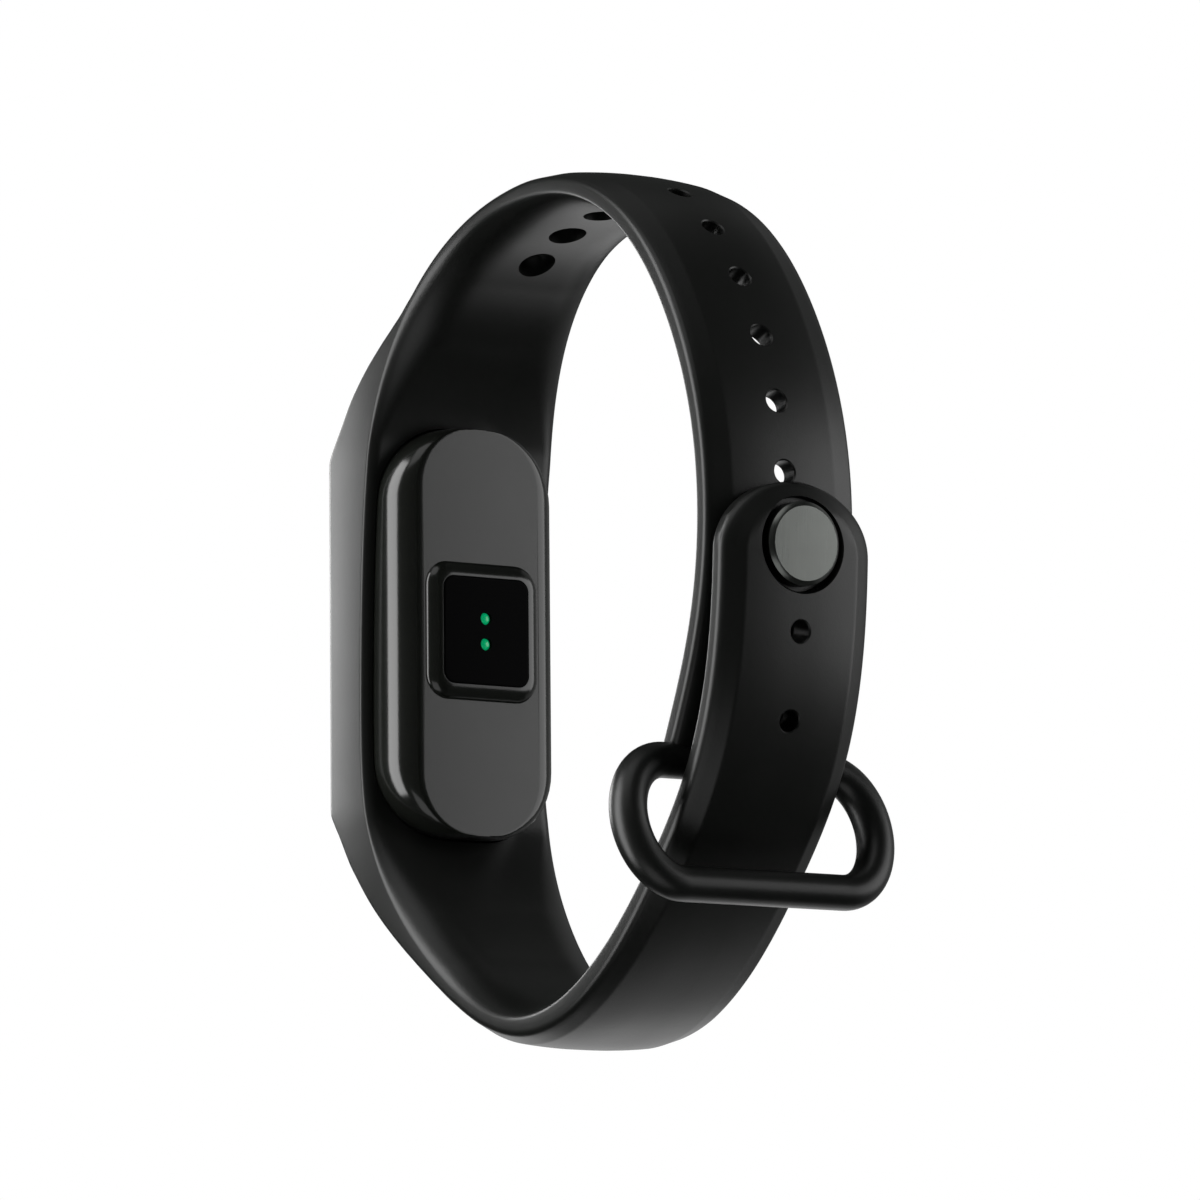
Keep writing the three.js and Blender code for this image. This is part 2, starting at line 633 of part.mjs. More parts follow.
function makeSensor() {
  addPiece('sensor_board', slab(sensorBoardFront, sensorBoardBack, {
    width: sensor.width, length: sensor.length, corner: sensor.glassCorner,
  }), 'laminate');
  const bores = Object.values(ledPlaces).map((z) => turnedAlongX([
    [0, glassBack - fit], [led.diameter / 2 + fit, glassBack - fit],
    [led.diameter / 2 + fit, islandTop + fit], [0, islandTop + fit],
  ], sides.hole, 0, z));
  addPiece('sensor_window', cut(slab(glassBack, islandTop, glassSize), ...bores), 'glass');
  const ledFront = sensorBoardBack + fit;
  const ledRadius = led.diameter / 2;
  for (const [name, z] of Object.entries(ledPlaces)) {
    addPiece(name, turnedAlongX([
      [0, ledFront], [ledRadius, ledFront], [ledRadius, islandTop - 2 * fit],
      [ledRadius * 0.7, islandTop - fit], [0, islandTop - fit / 2],
    ], sides.pin, 0, z), 'green');
  }
  const wallHalf = sensor.opening / 2 - gap;
  addPiece('light_barrier', block(
    [ledFront, glassBack - fit], [barrier.y, barrier.y + barrier.thickness], [-wallHalf, wallHalf],
  ), 'foam');
  addPiece('photodiode', block(
    [ledFront, ledFront + photodiode.thickness], [photodiode.y, wallHalf],
    [-photodiode.length / 2, photodiode.length / 2],
  ), 'chip');
}

// ---------------------------------------------------------------- charging pads
const padPlaces = [-pad.pitch / 2, pad.pitch / 2];

function makeChargingPads() {
  const outerEnd = -tracker.length / 2 + fit;
  ['charging_pad_left', 'charging_pad_right'].forEach((name, i) => {
    addPiece(name, new THREE.CylinderGeometry(pad.diameter / 2, pad.diameter / 2, pad.length, sides.pin)
      .rotateX(Math.PI / 2).translate(pad.x, padPlaces[i], outerEnd + pad.length / 2), 'gold');
  });
}

makeCradle();
makeHoledStrap();
makePegStrap();
makePegStrapTip();
makeStud();
makeKeeper();
makeRearShell();
makeFrontShell();
makeSeal();
makeDisplaySide();
makeBoard();
makeBattery();
makeMotor();
makeSensor();
makeChargingPads();

export default model;
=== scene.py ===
"""Finish of a fitness tracker band: moulded silicone, a satin plastic tracker and a brushed steel stud."""

import json
import math

import bpy
import numpy as np
from mathutils import Matrix, Vector


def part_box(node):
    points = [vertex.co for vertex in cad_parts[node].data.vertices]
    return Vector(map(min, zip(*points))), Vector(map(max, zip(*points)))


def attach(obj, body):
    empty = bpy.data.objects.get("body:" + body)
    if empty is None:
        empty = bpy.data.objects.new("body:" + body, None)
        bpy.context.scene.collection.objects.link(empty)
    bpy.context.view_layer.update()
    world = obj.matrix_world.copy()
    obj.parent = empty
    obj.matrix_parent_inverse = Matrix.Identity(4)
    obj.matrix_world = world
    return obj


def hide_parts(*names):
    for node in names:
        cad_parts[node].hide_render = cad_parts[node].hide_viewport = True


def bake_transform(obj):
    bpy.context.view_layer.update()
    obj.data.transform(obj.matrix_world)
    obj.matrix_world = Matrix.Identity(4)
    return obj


bl_info = {
    "name": "Fitness tracker band",
    "version": (1, 0, 0),
    "blender": (4, 5, 0),
    "location": "View3D > Sidebar > Tracker band",
    "description": "Builds the silicone band, keeper, clasp stud and tracker around their frame",
    "category": "Object",
}

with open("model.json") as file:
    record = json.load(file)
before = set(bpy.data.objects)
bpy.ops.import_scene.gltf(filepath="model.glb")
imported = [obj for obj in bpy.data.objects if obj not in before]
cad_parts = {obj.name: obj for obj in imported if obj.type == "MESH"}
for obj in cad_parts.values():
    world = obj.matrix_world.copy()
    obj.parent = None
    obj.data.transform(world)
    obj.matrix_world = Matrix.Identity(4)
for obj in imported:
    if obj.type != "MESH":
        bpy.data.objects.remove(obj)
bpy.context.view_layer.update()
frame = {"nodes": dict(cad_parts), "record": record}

MM = 0.001
JOINTS = {joint["name"]: joint for joint in frame["record"]["behaviour"]["joints"]}


# ------------------------------------------------------------------ sizes and colours
def length(name, description, millimetres):
    return bpy.props.FloatProperty(
        name=name, description=description, default=millimetres * MM, unit="LENGTH", precision=5
    )


def colour(name, description, value):
    return bpy.props.FloatVectorProperty(
        name=name, description=description, default=value, size=3, subtype="COLOR", min=0, max=1
    )


class BandSettings(bpy.types.PropertyGroup):
    cradle_width: length("Cradle width", "Width of the band beside the tracker", 19)
    strap_width: length("Strap width", "Width of the band at the clasp", 14.9)
    strap_thickness: length("Strap thickness", "Thickness of the half with holes", 2.2)
    peg_thickness: length("Stud strap thickness", "Thickness of the half with the stud", 2.4)
    hole_pitch: length("Hole pitch", "Distance between holes on the outer face", 6.2)
    hole_diameter: length("Hole diameter", "Diameter of a hole on the outer face", 2)
    seat_diameter: length("Seat diameter", "Diameter of a hole on the inner face", 3.3)
    rubber_colour: colour("Silicone", "Colour of the silicone", (0.0036, 0.004, 0.0035))


class TrackerSettings(bpy.types.PropertyGroup):
    shell_colour: colour("Shell", "Colour of the tracker's casing", (0.0065, 0.0072, 0.0061))
    glass_colour: colour("Glass", "Colour of the sensor window and the lens", (0.002, 0.002, 0.0022))
    led_colour: colour("Emitter", "Colour of the two green emitters", (0.0, 0.33, 0.12))
    bevel: length("Island bevel", "Width of the slope round the sensor window", 1.35)


class ClaspSettings(bpy.types.PropertyGroup):
    recess: length("Recess diameter", "Diameter of the hollow that the stud's head sits in", 8)
    bevel: length("Head bevel", "Width of the polished edge of the stud's head", 0.4)
    steel_colour: colour("Steel", "Colour of the stud's head", (0.13, 0.136, 0.129))


class StageSettings(bpy.types.PropertyGroup):
    floor_depth: length("Floor depth", "How far the floor lies below the middle of the band", 140)
    backdrop: colour("Backdrop", "Colour of the floor", (0.86, 0.86, 0.85))


# ------------------------------------------------------------------ line of the band
# Bare sizes here are in millimetres. Those times MM are in metres, as everything in Blender is.
# The band's inner edge, in parts of the wrist opening: from the keeper over the top, down behind the
# tracker and round the bottom, until it lies on the first half again.
OPENING_SHAPE = [
    (0.899, -0.385), (0.968, -0.156), (1, 0.1), (0.976, 0.397), (0.895, 0.658), (0.773, 0.862),
    (0.611, 0.98), (0.438, 0.997), (0.276, 0.945), (0.144, 0.81), (0.055, 0.603), (0.016, 0.345),
    (0, 0), (-0.002, -0.255), (0.018, -0.496), (0.091, -0.694), (0.195, -0.85), (0.316, -0.96),
    (0.458, -1), (0.6, -0.949), (0.732, -0.83), (0.86, -0.654), (0.968, -0.448),
]
RIM = -14.1  # x of the opening's edge behind the tracker
OPENING_DEPTH = 49.3
OPENING_TOP = 34.8
OPENING_BOTTOM = 35.3
FACE_LENGTH = 31.2  # the cradle's flat front, along the band
FRONT = -19.6  # x of that front
FACE_SLOPE = 1.45  # how steeply the slopes above and below it run back
HALF_FRONT = 15.8  # where the band starts to narrow, from the cradle's middle
NARROWING = 30  # over how long a stretch it narrows
SEAM = 30  # where the two halves of the band meet, from the cradle's middle
GAP = 0.3
OVERLAP = {"first": 7, "touching": 15, "end": 21.3, "lift": 1.3}
STUD_FROM_END = 5.2
VENT_PITCH = 7
TIP_ROUND = 6
HINGE_BELOW_STUD = 17
HOLES_TOWARDS_CRADLE = 10
KEEPER_ROOT = 0.5  # how far the strap runs into the keeper's back bar
FRONT_BEVEL = 0.24  # along the edges of the cradle's flat front
LEAD = 0.12 * MM  # small bevel where a hole opens
BEYOND = 2 * MM  # how far a cutter stands out of what it cuts
SEAT_DEPTH = 0.6 * MM
RECESS_DEPTH = 1.3 * MM
# Against the distance from the middle of the cradle: the height of the side wall, and how much thicker the
# band is than the plain strap.
UPPER_EDGE = (
    [16, 18, 20, 22, 24, 26, 28, 30, 36, 48],
    [5.5, 4.85, 4.1, 3.2, 2.27, 1.45, 0.85, 0.6, 0.8, 1.3],
)
UPPER_HEIGHT = ([20, 22, 24, 26, 28, 30, 33, 36, 40], [2.1, 1.4, 0.95, 0.65, 0.42, 0.27, 0.12, 0.04, 0])
LOWER_HEIGHT = ([20, 22, 24, 26, 28, 31, 34, 38, 42], [1.45, 1.05, 0.78, 0.57, 0.42, 0.24, 0.12, 0.03, 0])
LOWER_EDGE = (
    [16, 18, 20, 22, 24, 26, 28, 30, 32, 34, 37, 42, 48, 54, 60, 70],
    [5.1, 4.25, 3.65, 3.25, 2.82, 2.4, 2.02, 1.7, 1.46, 1.3, 1.2, 1.25, 1.5, 1.6, 1.5, 1.2],
)
# Against the same distance: how far the inner face swells towards the wrist, and how wide its rounded
# sides are.
SWELL = ([0, 17, 21, 27, 34, 42, 62], [0.5, 0.5, 1.0, 1.75, 1.95, 1.55, 0.12])
SWELL_INSET = ([0, 17, 21, 27, 42, 60], [1.15, 1.15, 2.4, 4.2, 4.4, 1.4])


def smoothstep(value, low, high):
    part = np.clip((np.asarray(value, float) - low) / (high - low), 0, 1)
    return part * part * (3 - 2 * part)


def mix(a, b, part):
    return a + (b - a) * part


def in_middle_plane(flat):
    """A point or direction of the XZ plane as a vector."""
    return Vector((flat[0], 0, flat[1]))


class Line:
    """A smooth open curve in the XZ plane through some points, in millimetres."""

    SOFTENING = 3.5

    def __init__(self, points):
        points = np.array(points, float)
        chords = np.linalg.norm(np.diff(points, axis=0), axis=1)
        knots = np.r_[0, np.cumsum(chords)]
        fine = np.linspace(0, knots[-1], 6000)
        path = self._soften(self._cubic(knots, points, fine), fine[1])
        steps = np.linalg.norm(np.diff(path, axis=0), axis=1)
        self.distances = np.r_[0, np.cumsum(steps)]
        self.path = path
        self.length = self.distances[-1]

    @staticmethod
    def _cubic(knots, points, fine):
        """Natural cubic spline."""
        gaps = np.diff(knots)
        count = len(knots)
        system = np.eye(count)
        right = np.zeros((count, 2))
        for i in range(1, count - 1):
            system[i, i - 1 : i + 2] = gaps[i - 1], 2 * (gaps[i - 1] + gaps[i]), gaps[i]
            slopes = (points[i + 1] - points[i]) / gaps[i] - (points[i] - points[i - 1]) / gaps[i - 1]
            right[i] = 6 * slopes
        bends = np.linalg.solve(system, right)
        span = np.clip(np.searchsorted(knots, fine, side="right") - 1, 0, count - 2)
        gap = gaps[span][:, None]
        after = (fine - knots[span])[:, None]
        before = gap - after
        a, b = points[span], points[span + 1]
        return (
            (bends[span] * before**3 + bends[span + 1] * after**3) / (6 * gap)
            + (a / gap - bends[span] * gap / 6) * before
            + (b / gap - bends[span + 1] * gap / 6) * after
        )

    def _soften(self, path, step):
        """Takes small ripples out of the curve and puts back what plain averaging would shrink."""
        reach = int(4 * self.SOFTENING / step)
        offsets = np.arange(-reach, reach + 1) * step
        kernel = np.exp(-0.5 * (offsets / self.SOFTENING) ** 2)
        kernel /= kernel.sum()

        def average(rows):
            start = 2 * rows[0] - rows[reach:0:-1]
            end = 2 * rows[-1] - rows[-2 : -reach - 2 : -1]
            padded = np.vstack([start, rows, end])
            return np.stack([np.convolve(column, kernel, "valid") for column in padded.T], axis=1)

        once = average(path)
        return once + average(path - once)

    def at(self, distance):
        """Point, direction along and outward direction at each distance, as rows of (x, z)."""
        distance = np.atleast_1d(np.asarray(distance, float))

        def sample(values):
            return np.stack([np.interp(values, self.distances, column) for column in self.path.T], axis=1)

        reach = 0.25
        ahead = np.clip(distance + reach, 0, self.length)
        behind = np.clip(distance - reach, 0, self.length)
        along = sample(ahead) - sample(behind)
        along /= np.linalg.norm(along, axis=1)[:, None]
        return sample(distance), along, np.stack([along[:, 1], -along[:, 0]], axis=1)

    def offset(self, distance, outwards):
        point, _, out = self.at(distance)
        return (point + out * outwards)[0]

    def nearest(self, target, start, end):
        distances = np.linspace(start, end, 4000)
        points, _, _ = self.at(distances)
        return distances[np.argmin(np.linalg.norm(points - target, axis=1))]


def opening_point(x, z):
    """A point of the band's inner edge from its parts of the opening."""
    return RIM + x * OPENING_DEPTH, z * (OPENING_TOP if z > 0 else OPENING_BOTTOM)


def band_line(settings):
    """The whole inner edge: once round the opening, then over the first half up to the loose end."""
    free = [opening_point(x, z) for x, z in OPENING_SHAPE]
    inner = Line(free)
    thickness = settings.strap_thickness / MM
    overlap = [
        inner.offset(OVERLAP["first"], thickness + OVERLAP["lift"]),
        inner.offset(OVERLAP["touching"], thickness + GAP),
        inner.offset(OVERLAP["end"], thickness + GAP),
    ]
    return Line([*free, *overlap])


class Band:
    """The line of the band with its landmarks and the sizes of its sections along it."""

    def __init__(self, settings):
        self.line = band_line(settings)
        self.half_cradle = settings.cradle_width / MM / 2
        self.half_strap = settings.strap_width / MM / 2
        self.thickness = settings.strap_thickness / MM
        self.peg_thickness = settings.peg_thickness / MM
        self.middle = self.line.nearest((RIM, 0), 0, self.line.length)
        self.stud = self.line.length - STUD_FROM_END
        self.hinge = self.stud - HINGE_BELOW_STUD
        self.seam = self.middle + SEAM

    def at(self, distance):
        """Point in metres, direction along and outward direction at one distance."""
        point, along, out = self.line.at(distance)
        return in_middle_plane(point[0]) * MM, in_middle_plane(along[0]), in_middle_plane(out[0])

    def half_width(self, distance):
        reach = np.clip((np.abs(distance - self.middle) - HALF_FRONT) / NARROWING, 0, 1)
        narrowing = 0.7 * smoothstep(reach, 0, 1) + 0.3 * (1 - (1 - reach) ** 2)
        return mix(self.half_cradle, self.half_strap, narrowing)

    def body_depth(self, distance):
        """Depth of the faceted body outwards from the rim: its flat front and the slope beside it."""
        point, _, out = self.line.at(distance)
        side = np.where(point[:, 1] > 0, 1, -1)
        nowhere = 1e3
        to_front = np.where(out[:, 0] < -0.01, (FRONT - point[:, 0]) / np.minimum(out[:, 0], -0.01), nowhere)
        height = FACE_LENGTH / 2 + FACE_SLOPE * (point[:, 0] - FRONT) - side * point[:, 1]
        closing = side * out[:, 1] - FACE_SLOPE * out[:, 0]
        to_slope = np.where(closing > 0.05, height / np.maximum(closing, 0.05), nowhere)
        crease = 0.12
        near, far = np.minimum(to_front, to_slope), np.maximum(to_front, to_slope)
        return near - crease * np.exp(-(far - near) / crease) * 0.7

    def sizes(self, distance):
        """Section sizes at one distance along the band."""
        reach = abs(distance - self.middle)
        depth = float(self.body_depth(distance)[0])
        if distance > self.middle:
            edges, heights, shoulder_inset, crown = LOWER_EDGE, LOWER_HEIGHT, 1.9, 0.28
            rest = self.peg_thickness
        else:
            edges, heights, shoulder_inset, crown = UPPER_EDGE, UPPER_HEIGHT, 2.3, 0.3
            rest = self.thickness
        past_body = float(smoothstep(reach, 18, 21))
        past_front = float(smoothstep(reach, 15.6, 19))
        thickness = mix(depth, rest + float(np.interp(reach, *heights)), past_body)
        edge = mix(thickness - FRONT_BEVEL, float(np.interp(reach, *edges)), past_front)
        thickness = max(thickness, edge + 0.2)
        square = 1 - float(smoothstep(reach, 19, 28))
        wide_crown = float(smoothstep(reach, 42, 28)) * (1 - square)
        return {
            "half": float(self.half_width(distance)),
            "swell": float(np.interp(reach, *SWELL)),
            "swell_inset": float(np.interp(reach, *SWELL_INSET)),
            "edge": edge,
            "shoulder": max(thickness - mix(crown + 0.25 * wide_crown, 0, square), edge),
            "shoulder_inset": mix(shoulder_inset + 1.2 * wide_crown, FRONT_BEVEL, square),
            "thickness": thickness,
        }


def round_corner(before, corner, after, steps):
    """Points of a curve that rounds off a corner."""
    part = np.linspace(0, 1, steps)[:, None]
    before, corner, after = np.array(before), np.array(corner), np.array(after)
    return (1 - part) ** 2 * before + 2 * part * (1 - part) * corner + part**2 * after


def towards(start, end, reach):
    """The point that lies reach from start on the way to end, and short of the middle."""
    start, end = np.array(start, float), np.array(end, float)
    span = np.linalg.norm(end - start)
    return start + (end - start) * min(reach / max(span, 1e-9), 0.48)


def section(half, swell, swell_inset, edge, shoulder, shoulder_inset, thickness, inset_at=None):
    """Closed outline of a section, sideways and outwards, anticlockwise from the inner face.

    inset_at gives how far a point of the outer face lies inside the strap's outline, where that isn't
    simply the distance to the nearer side.
    """
    swell_inset = min(swell_inset, half * 0.6)
    steepest = math.radians(70)  # how steeply the swell meets the band's side
    turn = np.linspace(0, steepest * 0.9, 10)
    inner_flat = np.stack([np.linspace(0, half - swell_inset, 7)[:-1], np.full(6, -swell)], axis=1)
    inner_edge = np.stack([
        half - swell_inset + swell_inset * np.sin(turn) / math.sin(steepest),
        -swell * (np.cos(turn) - math.cos(steepest)) / (1 - math.cos(steepest)),
    ], axis=1)
    softness = min(0.45, edge * 0.45, half * 0.3)
    rim, top = (half, 0.0), (half, edge)
    side = np.vstack([
        inner_flat,
        inner_edge[:-1],
        round_corner(inner_edge[-1], rim, towards(rim, top, min(0.2, softness)), 5),
    ])
    if half > shoulder_inset:
        insets = np.r_[outer_insets(softness, shoulder_inset), half]
    else:
        insets = np.linspace(0, half, 18)
    sideways = half - np.clip(insets, 0, half)
    inset = insets if inset_at is None else np.array([inset_at(y) for y in sideways])
    heights = outer_height(inset, edge, shoulder, shoulder_inset, thickness, softness)
    right = np.vstack([side, np.stack([sideways, heights], axis=1)])
    left = right[-2:0:-1] * (-1, 1)
    return np.vstack([right, left])


def outer_insets(softness, shoulder_inset):
    """Seventeen places across the outer face's bevel and crown, closer at its two corners."""
    corner = softness * (1 - np.cos(np.linspace(0, math.pi / 2, 6)))
    bevel = np.linspace(softness, shoulder_inset - 0.2, 4)[1:]
    crease = shoulder_inset + np.array([-0.07, 0.07, 0.25])
    crown = shoulder_inset + np.linspace(0.25, 4, 6)[1:]
    return np.r_[corner, bevel, crease, crown]


def outer_height(inset, edge, shoulder, shoulder_inset, thickness, softness):
    """Height of the outer face at each inset: a rounded corner, a straight bevel and a shallow crown."""
    inset = np.asarray(inset, float)
    bevel = edge + (shoulder - edge) * np.clip(inset / shoulder_inset, 0, 1)
    past = np.clip((inset - shoulder_inset) / 5, 0, 1)
    crown = shoulder + (thickness - shoulder) * (1 - (1 - past) ** 2)
    height = np.where(inset < shoulder_inset, bevel, crown)
    short = np.clip(1 - inset / max(softness, 1e-6), 0, 1)
    return height - softness * (1 - np.sqrt(np.clip(1 - short**2, 0, 1)))


def place(line, distance, outline):
    """Section points, sideways and outwards, as rows of x, y, z in metres."""
    point, _, out = line.at(distance)
    sideways, outwards = outline[:, 0], outline[:, 1]
    flat = point + out * outwards[:, None]
    return np.stack([flat[:, 0], sideways, flat[:, 1]], axis=1) * MM


# ------------------------------------------------------------------ mesh building
def make_object(name, vertices, faces, sharp_angle=40):
    mesh = bpy.data.meshes.new(name)
    mesh.from_pydata([tuple(v) for v in vertices], [], [tuple(int(i) for i in face) for face in faces])
    mesh.validate()
    piece = bpy.data.objects.new(name, mesh)
    bpy.context.scene.collection.objects.link(piece)
    smooth_faces(piece, sharp_angle)
    return piece


def smooth_faces(piece, sharp_angle=40):
    """Smooth shading, with edges left sharp where faces meet at more than this angle in degrees."""
    piece.data.polygons.foreach_set("use_smooth", [True] * len(piece.data.polygons))
    piece.data.set_sharp_from_angle(angle=math.radians(sharp_angle))
    piece.data.update()


def skin(rings, closed=False):
    """Vertices and faces of a closed body through rings of equally many points, with its faces outwards."""
    count = len(rings[0])
    vertices = np.vstack(rings)
    faces = []
    spans = len(rings) if closed else len(rings) - 1
    around = np.arange(count)
    following = (around + 1) % count
    for i in range(spans):
        here, ahead = i * count, ((i + 1) % len(rings)) * count
        quads = [here + around, here + following, ahead + following, ahead + around]
        faces.extend(np.stack(quads, axis=1).tolist())
    if not closed:
        last = (len(rings) - 1) * count
        faces.append(list(range(count - 1, -1, -1)))
        faces.append(list(range(last, last + count)))
    if enclosed_volume(vertices, faces) < 0:
        faces = [face[::-1] for face in faces]
    return vertices, faces


def enclosed_volume(vertices, faces):
    total = 0.0
    for face in faces:
        corner = vertices[face[0]]
        for i in range(1, len(face) - 1):
            total += np.dot(corner, np.cross(vertices[face[i]], vertices[face[i + 1]]))
    return total / 6


def turned(name, profile, centre, axis, sides=64, sharp_angle=40):
    """A turned body: profile points are radius and height along the axis, in metres, from pole to pole."""
    axis = Vector(axis).normalized()
    turn = Vector((0, 0, 1)).rotation_difference(axis).to_matrix()
    angles = np.linspace(0, 2 * math.pi, sides, endpoint=False)
    vertices = []
    for radius, height in profile:
        if radius == 0:
            vertices.append([Vector((0, 0, height))])
        else:
            vertices.append([Vector((radius * math.cos(a), radius * math.sin(a), height)) for a in angles])
    rows, points = [], []
    for row in vertices:
        rows.append(list(range(len(points), len(points) + len(row))))
        points.extend(row)
    faces = []
    for low, high in zip(rows, rows[1:]):
        for i in range(sides):
            j = (i + 1) % sides
            if len(low) == 1:
                faces.append([low[0], high[j], high[i]])
            elif len(high) == 1:
                faces.append([low[i], low[j], high[0]])
            else:
                faces.append([low[i], low[j], high[j], high[i]])
    placed = np.array([turn @ point + Vector(centre) for point in points])
    if enclosed_volume(placed, faces) < 0:
        faces = [face[::-1] for face in faces]
    return make_object(name, placed, faces, sharp_angle)


def drill(name, radius, depth, centre, axis, sides):
    """A plain round cutter that reaches as deep to either side of its centre."""
    return turned(name, [(0, -depth), (radius, -depth), (radius, depth), (0, depth)], centre, axis, sides)


def line_object(name, points, radii=None, closed=False):
    """A curve object through points, which can carry a radius each."""
    curve = bpy.data.curves.new(name, "CURVE")
    curve.dimensions = "3D"
    spline = curve.splines.new("POLY")
    spline.use_cyclic_u = closed
    spline.points.add(len(points) - 1)
    for target, point in zip(spline.points, points):
        target.co = (*point, 1)
    if radii:
        spline.points.foreach_set("radius", radii)
    holder = bpy.data.objects.new(name, curve)
    bpy.context.scene.collection.objects.link(holder)
    return holder


def rounded_ring(x, half_width, half_length, corner, corner_steps=12, side_steps=6, centre=(0, 0)):
    """A rounded rectangle across X, in metres, its sides split so that every ring has as many points."""
    corner = min(corner, half_width - 1e-5, half_length - 1e-5)
    points = []
    for quarter, (sign_y, sign_z) in enumerate([(1, 1), (-1, 1), (-1, -1), (1, -1)]):
        for i in range(corner_steps + 1):
            angle = (quarter + i / corner_steps) * math.pi / 2
            points.append((
                sign_y * (half_width - corner) + corner * math.cos(angle),
                sign_z * (half_length - corner) + corner * math.sin(angle),
            ))
    ring = []
    for i, (y, z) in enumerate(points):
        ring.append((x, centre[0] + y, centre[1] + z))
        if i % (corner_steps + 1) == corner_steps:
            next_y, next_z = points[(i + 1) % len(points)]
            for j in range(1, side_steps):
                part = j / side_steps
                ring.append((x, centre[0] + mix(y, next_y, part), centre[1] + mix(z, next_z, part)))
    return np.array(ring)


def cut(piece, *tools):
    """Takes tool objects out of a piece and removes them."""
    for tool in tools:
        boolean = piece.modifiers.new("cut", "BOOLEAN")
        boolean.operation = "DIFFERENCE"
        boolean.solver = "MANIFOLD"
        boolean.object = tool
    apply_modifiers(piece)
    for tool in tools:
        bpy.data.objects.remove(tool, do_unlink=True)
    return piece


def evaluated_mesh(piece):
    """A plain mesh of a piece's shape with its modifiers."""
    bpy.context.view_layer.update()
    graph = bpy.context.evaluated_depsgraph_get()
    mesh = bpy.data.meshes.new_from_object(piece.evaluated_get(graph), depsgraph=graph)
    mesh.name = piece.name
    return mesh


def apply_modifiers(piece):
    mesh = evaluated_mesh(piece)
    piece.modifiers.clear()
    piece.data = mesh
    return piece


def paint(piece, material):
    piece.data.materials.clear()
    piece.data.materials.append(material)
    piece.data.polygons.foreach_set("material_index", [0] * len(piece.data.polygons))


def finish_piece(piece, body, material, slot, *nodes, sharp_angle=40):
    """Shades and paints a piece, makes it ride on its body and stand for its nodes."""
    smooth_faces(piece, sharp_angle)
    paint(piece, material)
    if body:
        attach(piece, body)
    if nodes:
        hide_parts(*nodes)
    return piece


# ------------------------------------------------------------------ materials
class Value:
    """A node socket that takes part in arithmetic."""

    def __init__(self, tree, socket):
        self.tree, self.socket = tree, socket

    def _math(self, operation, *others):
        node = self.tree.add("ShaderNodeMath", {"operation": operation}, dict(enumerate(others)))
        return Value(self.tree, node.outputs[0])

    def __add__(self, other):
        return self._math("ADD", self, other)

    def __radd__(self, other):
        return self._math("ADD", other, self)

    def __mul__(self, other):
        return self._math("MULTIPLY", self, other)

    def __rmul__(self, other):
        return self._math("MULTIPLY", other, self)


class Finish:
    """A material with a Principled shader and short ways to add nodes to it."""

    def __init__(self, name, **sockets):
        self.material = bpy.data.materials.new(name)
        self.material.use_nodes = True
        self.tree = self.material.node_tree
        self.shader = self.tree.nodes["Principled BSDF"]
        for socket, value in sockets.items():
            self.set(socket.replace("_", " "), value)

    def add(self, kind, settings=None, inputs=None):
        node = self.tree.nodes.new(kind)
        for key, value in (settings or {}).items():
            setattr(node, key, value)
        for key, value in (inputs or {}).items():
            if isinstance(value, Value):
                self.tree.links.new(value.socket, node.inputs[key])
            else:
                node.inputs[key].default_value = value
        return node

    def set(self, socket, value):
        if isinstance(value, Value):
            self.tree.links.new(value.socket, self.shader.inputs[socket])
        else:
            self.shader.inputs[socket].default_value = value

    def place(self, scale=(1, 1, 1)):
        """Object coordinates, stretched by scale."""
        coordinates = self.add("ShaderNodeTexCoord")
        place = Value(self, coordinates.outputs["Object"])
        mapping = self.add("ShaderNodeMapping", {}, {"Vector": place, "Scale": scale})
        return Value(self, mapping.outputs[0])

    def noise(self, size, detail=2.0, roughness=0.5, scale=(1, 1, 1)):
        """Noise from 0 to 1 whose features are about size metres."""
        node = self.add("ShaderNodeTexNoise", {}, {
            "Vector": self.place(scale), "Scale": 1 / size, "Detail": detail, "Roughness": roughness,
        })
        return Value(self, node.outputs["Fac"])

    def blend(self, factor, first, second):
        """A colour between two colours."""
        colours = {"Factor": factor, 6: (*first, 1), 7: (*second, 1)}
        node = self.add("ShaderNodeMix", {"data_type": "RGBA"}, colours)
        return Value(self, node.outputs[2])

    def tint(self, factor, value, dark, light):
        """Base colour that varies between two shades of one colour."""
        self.set("Base Color", self.blend(factor, shade_of(value, dark), shade_of(value, light)))

    def bump(self, height, distance, strength=1.0):
        node = self.add("ShaderNodeBump", {}, {"Height": height, "Distance": distance, "Strength": strength})
        self.set("Normal", Value(self, node.outputs["Normal"]))
        return self


def shade_of(value, factor):
    return tuple(component * factor for component in value)


def silicone(value):
    """Moulded silicone: a fine satin grain, a faint cloudiness and slightly uneven gloss."""
    finish = Finish("band_silicone", IOR=1.43)
    grain = finish.noise(0.00016, 3, 0.6)
    cloud = finish.noise(0.006, 2)
    fine = finish.noise(0.0006, 2)
    finish.tint(0.6 * cloud + 0.4 * fine, value, 0.82, 1.2)
    finish.set("Roughness", 0.31 + 0.06 * cloud + 0.06 * grain)
    finish.bump(grain + 0.5 * fine, 0.000012, 0.5)
    return finish.material


def casing(value):
    """Smooth moulded casing with a soft gloss."""
    finish = Finish("tracker_casing", IOR=1.5)
    grain = finish.noise(0.0001, 2)
    cloud = finish.noise(0.004, 2)
    finish.tint(cloud, value, 0.9, 1.1)
    finish.set("Roughness", 0.15 + 0.04 * cloud)
    finish.bump(grain, 0.000004, 0.4)
    return finish.material


def black_glass(value):
    """Glossy cover glass with faint smears."""
    finish = Finish("black_glass", IOR=1.52)
    smear = finish.noise(0.003, 3, 0.6)
    finish.tint(smear, value, 1, 1.6)
    finish.set("Roughness", 0.05 + 0.06 * smear)
    return finish.material


